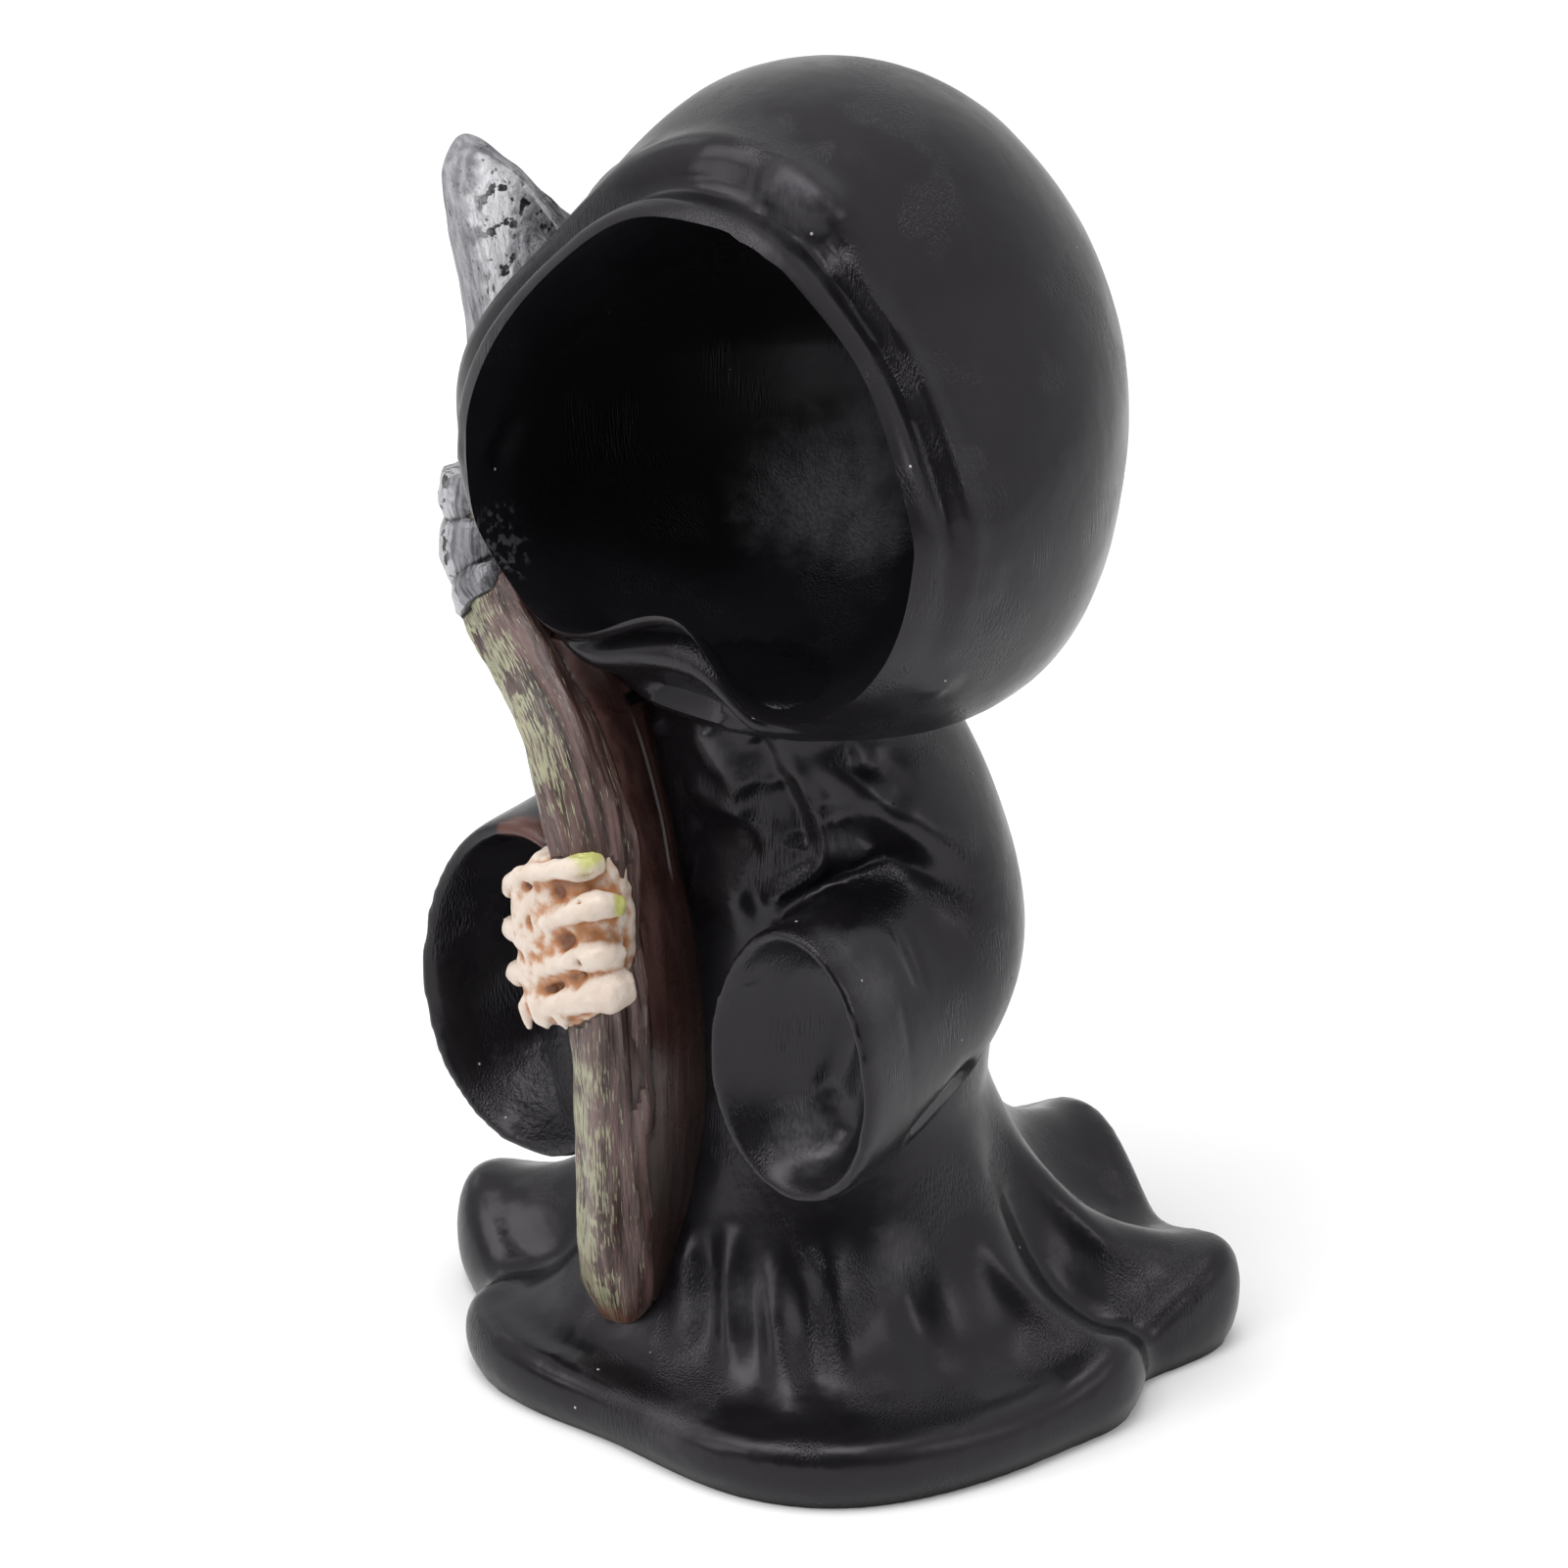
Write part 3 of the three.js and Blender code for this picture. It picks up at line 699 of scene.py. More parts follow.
left_sleeve = sleeve(
    "left_sleeve",
    [
        (4.4, 1.6, 58.6, 6.2, 9.6, 8, 84),
        (7.2, 1.8, 53.6, 7.6, 10.2, 8, 74),
        (9.4, 2.0, 48.4, 8.5, 10.2, 8, 60),
        (10.8, 2.0, 43.4, 8.6, 10.0, 8, 42),
        (11.6, -0.2, 39.4, 8.6, 9.8, 6, 22),
        (12.1, -5.0, 36.8, 8.3, 10.4, 5, 8),
        (12.6, -11, 36.0, 8.0, 11.4, 3, 0),
        (12.8, -16.4, 36.2, 7.9, 11.7, 0, 0),
        (12.8, -17, 36.3, 7.4, 11.2, 0, 0),
    ],
    [
        (12.8, -20, 36.3, 6.9, 10.7, 0, 0),
        (12.8, -16.6, 36.3, 6.8, 10.6, 0, 0),
        (13.2, -15.4, 36.1, 6.2, 9.9, 0, 0),
        (13.9, -13.4, 35.6, 4.6, 8.8, 0, 0),
        (14.5, -12.0, 35.1, 3.0, 7.0, 0, 0),
        (14.8, -11.2, 34.8, 1.6, 5.0, 0, 0),
    ],
)
right_sleeve = sleeve(
    "right_sleeve",
    [
        (-4.6, 1.6, 58.6, 7.0, 9.4, -8, 84),
        (-7.2, 1.8, 53.6, 8.2, 10.0, -8, 74),
        (-9.3, 2.0, 48.4, 8.6, 10.2, -8, 60),
        (-10.8, 1.8, 43.6, 8.8, 10.6, -8, 42),
        (-11.9, -0.4, 40.0, 9.2, 11.4, -6, 22),
        (-12.8, -5.0, 37.0, 9.8, 12.8, -5, 8),
        (-13.3, -11, 35.0, 10.3, 14.2, -3, 0),
        (-13.6, -16.4, 34.2, 10.6, 14.6, 0, 0),
        (-13.6, -17, 34.2, 10.0, 14.0, 0, 0),
    ],
    [
        (-13.6, -20, 34.2, 9.5, 13.5, 0, 0),
        (-13.6, -16.5, 34.2, 9.4, 13.4, 0, 0),
        (-13.6, -15.2, 34.2, 8.9, 12.8, 0, 0),
        (-13.4, -12.5, 33.8, 7.8, 11.4, 0, 0),
        (-13.0, -8.5, 33.4, 5.4, 8.6, 0, 0),
        (-12.6, -6.0, 33.0, 2.6, 5.2, 0, 0),
    ],
)
pick(None)
bpy.ops.mesh.primitive_uv_sphere_add(segments=40, ring_count=24, radius=1)
lining = bpy.context.object
lean = np.array(Matrix.Rotation(LINING_LEAN, 3, "Y"))
set_places(lining, places(lining) * LINING_SIZE @ lean.T + LINING_PLACE)
roughen(lining, 2.6, 0.3)
print("two sleeves, each with its scooped mouth, and the rough lump in the right one")

# %% [markdown]
# A strand is a rope of clay laid along a few places, thick or thin along its way. The staff, the
# lashing, the wrist and the finger bones are all strands.


# %% Laying a strand
def strand_rings(line, thickness, around=16):
    """Rings about a line of points. thickness gives a radius for each row, or for each point."""
    line = np.asarray(line, float)
    along = np.gradient(line, axis=0)
    along /= np.linalg.norm(along, axis=1)[:, None]
    side = np.cross((0.2, -1, 0.1), along)
    side /= np.linalg.norm(side, axis=1)[:, None]
    front = np.cross(along, side)
    angle = turns(around)
    radius = np.asarray(thickness, float).reshape(len(line), -1)
    radius = np.broadcast_to(radius, (len(line), around))
    return (
        line[:, None]
        + side[:, None] * (radius * np.cos(angle))[..., None]
        + front[:, None] * (radius * np.sin(angle))[..., None]
    )


def lay_strand(name, keys, radius, ends, steps=28):
    """A strand through the keys that thins towards both ends, to the share that ends gives."""
    along = np.linspace(0, 1, steps)
    thickness = radius * (ends + (1 - ends) * np.sin(np.pi * along) ** 0.7)
    return pull_up(name, strand_rings(smooth_through(keys, steps), thickness))


# %% [markdown]
# The blanks of the robe are pressed into one body with a voxel remesh, which welds them and
# spreads even faces over the joints, and are then smoothed as a wet brush would.

# %% The robe's body
BODY_VOXEL = 0.65
body = fuse("body", [robe, left_sleeve, right_sleeve, lining], BODY_VOXEL)
use_modifier(body, "SMOOTH", factor=0.5, iterations=5)
with edit_mode(body):
    bpy.ops.mesh.bisect(plane_co=(0, 0, 0), plane_no=(0, 0, -1), use_fill=True, clear_outer=True)
print("body:", len(body.data.polygons), "faces")

# %% [markdown]
# Now the cloth: two soft folds hang below the throat, the coat is wrapped over them to a sharp
# edge, the left cuff is creased where it is tucked in, and the skirt breaks into short folds
# over the hem.

# %% Folds of the cloth
CHEST_STROKES = [
    ([(0.0, -10.8, 60.5), (0.9, -10.6, 58.2), (2.7, -10.3, 55.6), (4.0, -9.7, 54.0)], 1.8, 1.3),
    ([(4.2, -10.2, 59.2), (5.2, -9.9, 57.2), (5.6, -9.7, 55.0)], 1.0, -0.6),
    ([(-5.6, -9.9, 57.8), (-4.9, -10.0, 56.2)], 1.1, 0.8),
    ([(-3.0, -10.1, 53.8), (0.2, -10.4, 53.2), (2.2, -10.1, 52.8), (4.3, -9.6, 52.7)], 1.4, 1.0),
    ([(-3.4, -9.9, 49.8), (1.0, -9.9, 49.4), (4.6, -9.4, 50.2)], 1.6, -0.6),
    ([(-2.9, -10.2, 45.3), (0.0, -9.6, 44.6), (3.9, -9.1, 44.6)], 2.2, 0.8),
    ([(5.5, -9.3, 56.0), (6.9, -8.4, 52.6), (7.2, -8.0, 49.4)], 1.4, -0.8),
    (
        [(6.4, -8.7, 58.4), (7.5, -8.1, 55.4), (8.9, -7.2, 50.3), (8.4, -7.3, 48.2)]
        + [(5.5, -8.6, 45.6), (3.9, -9.0, 44.3)],
        0.9,
        0.8,
    ),
    ([(9.6, -7.4, 54.4), (10.6, -5.9, 51.4), (11.6, -4.7, 48.6)], 1.6, 1.0),
    ([(13.6, -8.4, 61.0), (12.6, -4.6, 56.6), (14.0, -4.2, 52.6)], 1.4, -0.5),
]
CUFF_STROKES = [
    ([(15, -11.2, 40.4), (14.4, -11.6, 37), (13.4, -12, 33.4), (12.2, -13, 30.2)], 1.2, -0.6),
    ([(15.0, -7.6, 46.4), (17.4, -8.4, 44.3), (19.3, -8.7, 41.2)], 0.4, -0.22),
    ([(16.0, -7.0, 46.4), (18.3, -7.4, 44.0), (19.9, -8.0, 41.0)], 0.4, -0.18),
    ([(19.5, -1.4, 32.8), (19.6, -6.5, 30.7), (18.8, -11.0, 28.6)], 1.4, -0.8),
]
HEM_STROKES = [
    ([(-1.6, -12.3, 16.5), (-0.6, -12.8, 12.5), (1.0, -14.8, 8.6), (1.5, -18, 6.0)], 1.3, 0.8),
    ([(0.6, -12.2, 16.0), (1.7, -12.8, 12.5), (3.4, -15.0, 8.4), (5.2, -18.6, 5.8)], 1.1, -0.4),
    ([(2.4, -11.8, 17.5), (3.5, -12.3, 13.7), (5.2, -14.5, 9.1), (8.9, -19.2, 5.6)], 1.3, 0.9),
    ([(4.8, -11.8, 16.5), (5.9, -12.4, 12.2), (8.2, -14.8, 8.6), (11.4, -18.6, 5.7)], 1.1, -0.4),
    ([(6.8, -11.6, 16.0), (7.9, -12.4, 11.8), (10.5, -14.8, 8.5), (14, -18, 5.8)], 1.4, 0.9),
    ([(8.8, -10.2, 17.0), (9.6, -10.8, 13.2), (12.2, -12.8, 9.2), (15.8, -16.2, 6.0)], 1.2, -0.4),
    ([(10.2, -8.6, 18.5), (10.8, -9.1, 14.9), (13.3, -10.5, 10.2), (17.1, -14.1, 6.2)], 1.6, 0.8),
    ([(13.2, -5.2, 17.6), (15.3, -4.8, 13.4), (18.6, -5.8, 9.2), (22.6, -7.2, 6.2)], 2.2, -0.8),
    ([(16.8, 2.5, 15.1), (19.8, 3.5, 10.6), (25.0, 4.5, 7.3), (29.6, 5.2, 6.9)], 1.3, 0.7),
    ([(-17.3, -19.2, 5.4), (-17.9, -14.1, 5.1), (-17.6, -9.5, 5.8)], 1.3, 0.6),
    ([(13.7, 9.4, 20), (15.8, 12, 15.2), (20.1, 14.3, 10.2), (25, 15.7, 7.7)], 1.4, 0.7),
]
# Where the faces are split for the strokes, and where the cuffs' rims are smoothed: two corners.
FINE_ZONES = [
    ((-6, -14, 43), (12, -3, 62)),
    ((6, -19, 26), (21, -6, 49)),
    ((-6, -26, 3), (20, -9, 17)),
]
RIM_ZONES = [((-26, -19, 17), (-2, -14, 50)), ((3, -19, 24), (22, -14, 50))]
mark_zone(body, "rims", RIM_ZONES)
use_modifier(body, "SMOOTH", factor=0.5, iterations=6, vertex_group="rims")
body.vertex_groups.clear()
refine(body, FINE_ZONES)
print("body refined to", len(body.data.polygons), "faces")
draw_strokes(body, CHEST_STROKES + CUFF_STROKES)
draw_strokes(body, HEM_STROKES, fade=0.45)
use_modifier(body, "SMOOTH", factor=0.5, iterations=2, vertex_group="fine_zone")
body.vertex_groups.clear()
for place, strokes in (("chest", CHEST_STROKES), ("cuffs", CUFF_STROKES), ("hem", HEM_STROKES)):
    print(len(strokes), "strokes on the", place)

# %% [markdown]
# ## The scythe
#
# The staff is a crooked branch with bark, and the mould has left a smooth web of resin between
# it and the robe. The bark is real relief, because the dry brush of the paint needs ridges to
# catch on.

# %% The staff and its bark
STAFF_LINE = [
    (-6.0, -13.4, 5.4),
    (-5.7, -14.6, 15.0),
    (-4.9, -16.0, 24.0),
    (-4.4, -17.2, 33.5),
    (-4.6, -17.8, 42.5),
    (-6.2, -17.0, 50.0),
    (-10.2, -15.2, 56.5),
    (-14.6, -13.2, 60.4),
    (-19.2, -11.4, 63.4),
    (-22.2, -9.8, 66.0),
    (-23.4, -8.8, 70.0),
    (-23.8, -8.4, 73.0),
]
STAFF_RADIUS, STAFF_LENGTH = 3.1, 80
STAFF_ROWS, STAFF_AROUND = 210, 54
GRIPPED_AT = 0.364
staff_line = smooth_through(STAFF_LINE, STAFF_ROWS)


def bark(place, size, stretch):
    """Ridges that run along the branch, from -1 in a furrow to 1 on a ridge."""
    wander = noise.noise(place / 9)
    long_cell = Vector((place.x / size + wander, place.y / size, place.z / (size * stretch)))
    return 1 - 3.4 * abs(noise.noise(long_cell))


def staff_radius(along, angle, place):
    """The radius at a share of the length: stub, knots, taper and bark, slimmer in the grip."""
    knob = 0.4 * swell(along - 0.08, 0.08) - 1.3 * swell(along, 0.03)
    trunk = 0.26 * math.cos(3 * angle + 7 * along) + 0.16 * math.cos(5 * angle - 11 * along)
    coarse = 0.24 + 0.16 * swell(along - 0.45, 0.09)
    ridges = coarse * bark(place, 1.9, 7) + 0.12 * bark(place, 0.9, 9)
    gripped = 0.5 * swell(along - GRIPPED_AT, 0.05)
    return STAFF_RADIUS + knob + trunk - 0.5 * along + ridges - gripped


staff_grain = wrapped_grain(STAFF_ROWS, STAFF_AROUND, STAFF_RADIUS, STAFF_LENGTH)
staff_sizes = [
    [staff_radius(z / STAFF_LENGTH, math.atan2(y, x), Vector((x, y, z))) for x, y, z in ring]
    for ring in staff_grain
]
staff = pull_up("staff", strand_rings(staff_line, staff_sizes, STAFF_AROUND), staff_grain)
print("staff:", len(staff.data.polygons), "faces of bark")

# %% The web behind the staff
# Its right edge on the robe: height, sideways place and how far forward it meets the robe.
WEB_EDGE = [
    (9, -2.4, -12.5),
    (16, -1.6, -12.5),
    (25, -1.0, -10.5),
    (33, -1.2, -10.0),
    (41, -2.3, -10.0),
    (45, -3.8, -10.1),
    (50, -5.0, -10.0),
    (56.6, -7.1, -10.2),
    (60.5, -9.0, -11.2),
    (63.4, -10.8, -12.4),
]
WEB_ROWS, WEB_FRONT = 110, 22


def web_ring(edge):
    """A section of the web: up the staff's flank, over in a full curve to the robe, and back."""
    high, edge_x, edge_y = edge
    at_x, at_y, _ = staff_line[np.argmin(np.abs(staff_line[:, 2] - high))]
    flank_x, flank_y = at_x + 2.5, at_y - 1.1
    corners = np.array([
        (at_x - 1.4, at_y + 1.2, high),
        (flank_x, flank_y, high),
        (flank_x * 0.5 + edge_x * 0.5 + 0.3, flank_y * 0.5 + edge_y * 0.5 - 0.5, high),
        (edge_x, edge_y, high),
        (edge_x, edge_y + 5, high),
        (edge_x - 5, edge_y + 5, high),
    ])
    front = smooth_through(corners[1:4], WEB_FRONT)
    back = [corners[3] + (corners[k] - corners[3]) * t for k, t in ((4, 0.5), (4, 1))]
    return np.vstack([front, back, corners[5], corners[0]])


web_edges = smooth_through(WEB_EDGE, WEB_ROWS)
web_rings = np.array([web_ring(edge) for edge in web_edges])
# Across the web: 0 at the staff, 1 at the front edge and more on the flank behind it.
across = np.concatenate([np.linspace(0, 1, WEB_FRONT), [1.3, 1.3, 1.3, 0]])
web_grain = np.zeros_like(web_rings)
web_grain[..., 0] = across
web_grain[..., 2] = web_edges[:, None, 0]
web = pull_up("web", web_rings, web_grain)
print("web:", len(web.data.polygons), "faces")

# %% [markdown]
# The collar is the lashing where blade meets staff, and the blade stands up beside the hood,
# turns at its heel and sweeps down round the hood's back.

# %% The collar and the blade
COLLAR_LINE = [
    (-20.0, -11.0, 63.8),
    (-22.2, -9.8, 65.8),
    (-23.4, -8.8, 69.6),
    (-23.8, -8.4, 73.2),
]
COLLAR_ROWS, COLLAR_AROUND, COLLAR_LENGTH, WRAPS = 80, 40, 11, 2.6
SPINE_LINE = [
    (-24.6, -8.4, 71.0),
    (-24.7, -8.2, 79.0),
    (-25.8, -8.0, 87.0),
    (-27.5, -7.9, 93.6),
    (-27.9, -7.8, 97.6),
    (-26.2, -7.0, 100.0),
    (-23.6, -4.6, 97.4),
    (-23.0, -0.6, 93.2),
    (-23.4, 5.0, 89.4),
    (-20.8, 13.8, 85.6),
    (-15.4, 20.6, 80.8),
    (-9.0, 24.4, 75.6),
    (-2.4, 25.4, 70.6),
]
EDGE_LINE = [
    (-21.6, -6.0, 71.0),
    (-21.2, -5.4, 77.0),
    (-20.6, -4.6, 83.0),
    (-20.2, -4.0, 87.0),
    (-20.2, -3.6, 88.6),
    (-20.6, -2.6, 88.4),
    (-21.2, -1.0, 86.4),
    (-22.4, 1.6, 82.6),
    (-23.2, 6.0, 78.0),
    (-21.2, 13.0, 74.8),
    (-15.8, 19.0, 72.6),
    (-9.4, 22.8, 71.0),
    (-2.8, 24.6, 70.0),
]
BLADE_THICKNESS, BLADE_TAPER, BLADE_LENGTH = 2.8, 0.45, 95
BLADE_ROWS, BLADE_ACROSS = 150, 14
# The blade's section: the share of the way from spine to edge, and the height in thicknesses.
BLADE_PROFILE = [(0, 0.12), (0.34, 0.6), (1, 0.1), (1, -0.1), (0.3, -0.55), (0, -0.12)]
# How far the blade's spine and its edge stay outside the hood.
SPINE_CLEAR, EDGE_CLEAR = 0.5, 0.1


def collar_blank():
    grain = wrapped_grain(COLLAR_ROWS, COLLAR_AROUND, 3, COLLAR_LENGTH)
    along = np.linspace(0, 1, COLLAR_ROWS)[:, None]
    angle = turns(COLLAR_AROUND)
    wraps = np.abs(np.sin(WRAPS * np.pi * along + 0.9 * np.sin(angle + 0.8)))
    frayed = [[noise.noise(Vector(point) / 0.9) for point in ring] for ring in grain]
    radius = 2.75 + 0.62 * wraps**0.7 + 0.3 * np.sin(np.pi * along) + 0.12 * np.array(frayed)
    line = smooth_through(COLLAR_LINE, COLLAR_ROWS)
    return pull_up("collar", strand_rings(line, radius, COLLAR_AROUND), grain)


def laid_on_hood(line, clear):
    """The line with its part behind the hood's widest place lifted clear of the ball."""
    away = line - HOOD_CENTRE
    reach = np.linalg.norm(away, axis=1)
    wanted = np.maximum(reach, hood_reach(away / reach[:, None]) + clear)
    behind = np.clip((line[:, 1] + 2.5) / 4, 0, 1)
    return HOOD_CENTRE + away * (1 + behind * (wanted / reach - 1))[:, None]


def blade_blank():
    spine = laid_on_hood(smooth_through(SPINE_LINE, BLADE_ROWS), SPINE_CLEAR)
    edge = laid_on_hood(smooth_through(EDGE_LINE, BLADE_ROWS), EDGE_CLEAR)
    out = (spine + edge) * (1, 1, 0)
    out /= np.linalg.norm(out, axis=1)[:, None]
    thick = BLADE_THICKNESS * (1 - BLADE_TAPER * np.linspace(0, 1, BLADE_ROWS))
    ring = []
    for (a0, o0), (a1, o1) in zip(BLADE_PROFILE, BLADE_PROFILE[1:] + BLADE_PROFILE[:1]):
        steps = max(1, round(abs(a1 - a0) * BLADE_ACROSS))
        ring += [(a0 + (a1 - a0) * k / steps, o0 + (o1 - o0) * k / steps) for k in range(steps)]
    rings = np.stack([spine + (edge - spine) * a + out * (o * thick)[:, None] for a, o in ring], 1)
    grain = np.zeros_like(rings)
    grain[..., 0] = [a * 5 for a, o in ring]
    grain[..., 1] = [o * 3 for a, o in ring]
    grain[..., 2] = np.linspace(0, BLADE_LENGTH, BLADE_ROWS)[:, None]
    return pull_up("blade", rings, grain)


collar, blade = collar_blank(), blade_blank()
roughen(blade, 2.4, 0.2)
roughen(collar, 1.1, 0.15)
print("collar and blade:", len(collar.data.polygons), "and", len(blade.data.polygons), "faces")

# %% [markdown]
# ## The hand
#
# The hand is a block of bone round the staff with four fingers across it like rungs, a wrist
# behind and three claws below. They are fused finely, then oval pits and slots are pressed into
# the gaps.

# %% The bones
HAND_VOXEL = 0.29
# Each finger: its radius and five places from the back of the hand to the fingertip.
FINGERS = [
    (
        0.85,
        [(-13.0, -18.4, 44.2), (-10.5, -20.3, 46.7), (-6.9, -21.2, 48.7)]
        + [(-4.0, -21.1, 49.8), (-3.0, -19.4, 49.8)],
    ),
    (
        0.88,
        [(-13.1, -18.4, 40.8), (-9.9, -20.3, 42.1), (-6.0, -21.3, 44.9)]
        + [(-2.6, -21.5, 47.1), (-1.3, -19.2, 46.6)],
    ),
    (
        0.9,
        [(-12.4, -18.8, 37.1), (-9.5, -20.5, 39.0), (-5.8, -21.4, 41.1)]
        + [(-2.4, -21.5, 42.9), (-1.1, -19.4, 42.6)],
    ),
    (
        1.45,
        [(-8.6, -20.0, 36.3), (-6.4, -20.8, 37.4), (-3.6, -21.2, 38.9)]
        + [(-1.8, -20.8, 39.8), (-0.8, -19.0, 40.0)],
    ),
]
FINGER_ROWS, FINGER_AROUND, BLOCK_AROUND = 44, 22, 40
# The block's sections: middle, half width and half depth, from below.
BLOCK = [
    (-6.2, -17.8, 34.9, 2.2, 2.4),
    (-6.4, -18.3, 36.4, 3.8, 2.9),
    (-6.5, -18.5, 39.6, 4.8, 3.1),
    (-6.9, -18.5, 43.8, 5.0, 3.1),
    (-7.3, -18.3, 47.0, 4.6, 2.9),
    (-7.0, -17.9, 49.2, 3.4, 2.2),
]
WRIST, WRIST_RADIUS = [(-8.4, -17.2, 41.4), (-10.8, -14.0, 39.8), (-12.6, -8.0, 36.4)], 3.7
CLAWS = [
    ([(-9.8, -19.8, 37.0), (-10.2, -20.6, 35.6), (-9.1, -21.0, 34.0)], 0.55),
    ([(-8.3, -20.6, 36.6), (-8.3, -21.2, 35.6), (-6.9, -21.3, 34.9)], 0.5),
    ([(-7.4, -20.8, 37.0), (-6.0, -21.5, 36.6), (-5.1, -21.4, 35.7)], 0.5),
]


def finger(radius, keys):
    along = np.linspace(0, 1, FINGER_ROWS)
    knuckles = 0.92 + 0.28 * swell(along - 0.06, 0.1) + 0.42 * swell(along - 0.78, 0.15)
    line = smooth_through(keys, FINGER_ROWS)
    return pull_up("finger", strand_rings(line, radius * knuckles, FINGER_AROUND))


def block_ring(section):
    x, y, z, half_width, half_depth = section
    angle = turns(BLOCK_AROUND)
    across, deep = np.cos(angle), np.sin(angle)
    squared = (np.abs(across) ** 3 + np.abs(deep) ** 3) ** (-1 / 3)
    sideways = half_width * across * squared
    return np.column_stack([x + sideways, y + half_depth * deep * squared, z + 0.3 * sideways])


fingers = [finger(*bone) for bone in FINGERS]
block = pull_up("block", [block_ring(section) for section in smooth_through(BLOCK, 40)])
wrist = lay_strand("wrist", WRIST, WRIST_RADIUS, 0.9)
claws = [lay_strand("claw", keys, radius, 0.3, 14) for keys, radius in CLAWS]
hand = fuse("hand", [block, wrist, *fingers, *claws], HAND_VOXEL)
use_modifier(hand, "SMOOTH", factor=0.5, iterations=3)

HAND_STROKES = [
    ([(-7.2, -20.9, 46.5), (-4.9, -20.9, 47.4)], 0.8, -0.6),
    ([(-6.2, -21.0, 42.8), (-3.8, -21.0, 43.8)], 0.75, -0.6),
    ([(-9.4, -20.6, 47.5), (-9.1, -20.8, 45.8)], 0.4, -0.8),
    ([(-11.2, -20.0, 43.6), (-11.8, -19.6, 42.6)], 0.6, -0.5),
    ([(-10.1, -20.6, 41.0), (-10.2, -20.6, 39.4)], 0.8, -0.6),
    ([(-8.0, -21.0, 37.8), (-4.6, -21.2, 39.6)], 0.45, -0.8),
    ([(-8.7, -21.3, 44.6), (-8.9, -21.3, 43.8), (-8.4, -21.3, 42.9)], 0.2, -0.45),
    ([(-3.2, -22.2, 47.6), (-3.1, -22.2, 47.2)], 0.25, -0.5),
    ([(-3.1, -22.2, 46.3), (-3.0, -22.2, 45.9)], 0.3, -0.6),
    ([(-3.1, -22.2, 42.9), (-3.1, -22.2, 41.9)], 0.26, -0.9),
    ([(-4.9, -21.0, 50.4), (-3.4, -20.4, 50.4)], 0.35, -1.0),
]
draw_strokes(hand, HAND_STROKES, fade=0.5)
roughen(hand, 0.9, 0.16)
print("hand:", len(hand.data.polygons), "faces")

# %% [markdown]
# ## One casting
#
# The parts keep their own paint when they are united: every part gets its material first, and
# the boolean carries it over face by face, which leaves the crisp paint edges of the real one.

# %% The paints, still bare
WORN_BY = {
    "black_resin": [hood, body],
    "staff_paint": [staff],
    "web_paint": [web],
    "bone_paint": [hand],
    "silver_paint": [blade],
    "collar_paint": [collar],
}
paints = {}
for name, pieces in WORN_BY.items():
    paints[name] = bpy.data.materials.new(name)
    paints[name].use_nodes = True
    for piece in pieces:
        piece.data.materials.clear()
        piece.data.materials.append(paints[name])

# %% Uniting the parts
figure = body
figure.name = "reaper_figure"
for part in (hood, blade, collar, web, staff, hand):
    boolean(figure, part, "UNION")
print("figure:", len(figure.data.polygons), "faces,", [m.name for m in figure.data.materials])

# %% [markdown]
# ## Paint
#
# A wash runs into the hollows and a dry brush catches the ridges, so the paints need to know
# which is which. The relief is how far a point stands out of a smoothed copy of the figure.


# %% Measuring the relief
def smoothed(points, ends, rounds):
    """The points after each has moved to the mean of its neighbours, a number of times."""
    count = len(points)
    meets = np.maximum(np.bincount(ends.ravel(), minlength=count), 1)
    for _ in range(rounds):
        total = np.empty_like(points)
        for axis in range(3):
            values = points[:, axis]
            total[:, axis] = np.bincount(ends[:, 0], values[ends[:, 1]], count)
            total[:, axis] += np.bincount(ends[:, 1], values[ends[:, 0]], count)
        points = 0.5 * points + 0.5 * total / meets[:, None]
    return points


def keep_relief(piece):
    ends = np.empty(len(piece.data.edges) * 2, int)
    piece.data.edges.foreach_get("vertices", ends)
    points, out = places(piece), normals(piece)
    for name, rounds in (("fine_relief", 10), ("broad_relief", 60)):
        relief = ((points - smoothed(points, ends.reshape(-1, 2), rounds)) * out).sum(1)
        store(piece, name, relief)
        print(name, "runs mostly from %.2f to %.2f mm" % tuple(np.percentile(relief, (2, 98))))


keep_relief(figure)

# %% [markdown]
# Every paint is built from noises in object coordinates. These are metres, so a noise whose
# grain is one millimetre has the scale 1000.


# %% Node helpers
class Mask:
    """What a node gives. It adds and multiplies like a number, through Math nodes."""

    def __init__(self, paint, socket):
        self.paint, self.socket = paint, socket

    def __add__(self, other):
        return self.paint.math("ADD", self, other)

    def __sub__(self, other):
        return self.paint.math("SUBTRACT", self, other)

    def __mul__(self, other):
        return self.paint.math("MULTIPLY", self, other)

    def spread(self, low, high, out_low=0.0, out_high=1.0):
        """Eases a value that runs from low to high into one from out_low to out_high."""
        inputs = {0: self, 1: low, 2: high, 3: out_low, 4: out_high}
        return self.paint.node("MapRange", inputs, interpolation_type="SMOOTHSTEP")

    def part(self, axis):
        return self.paint.node("SeparateXYZ", {0: self}, out=axis)


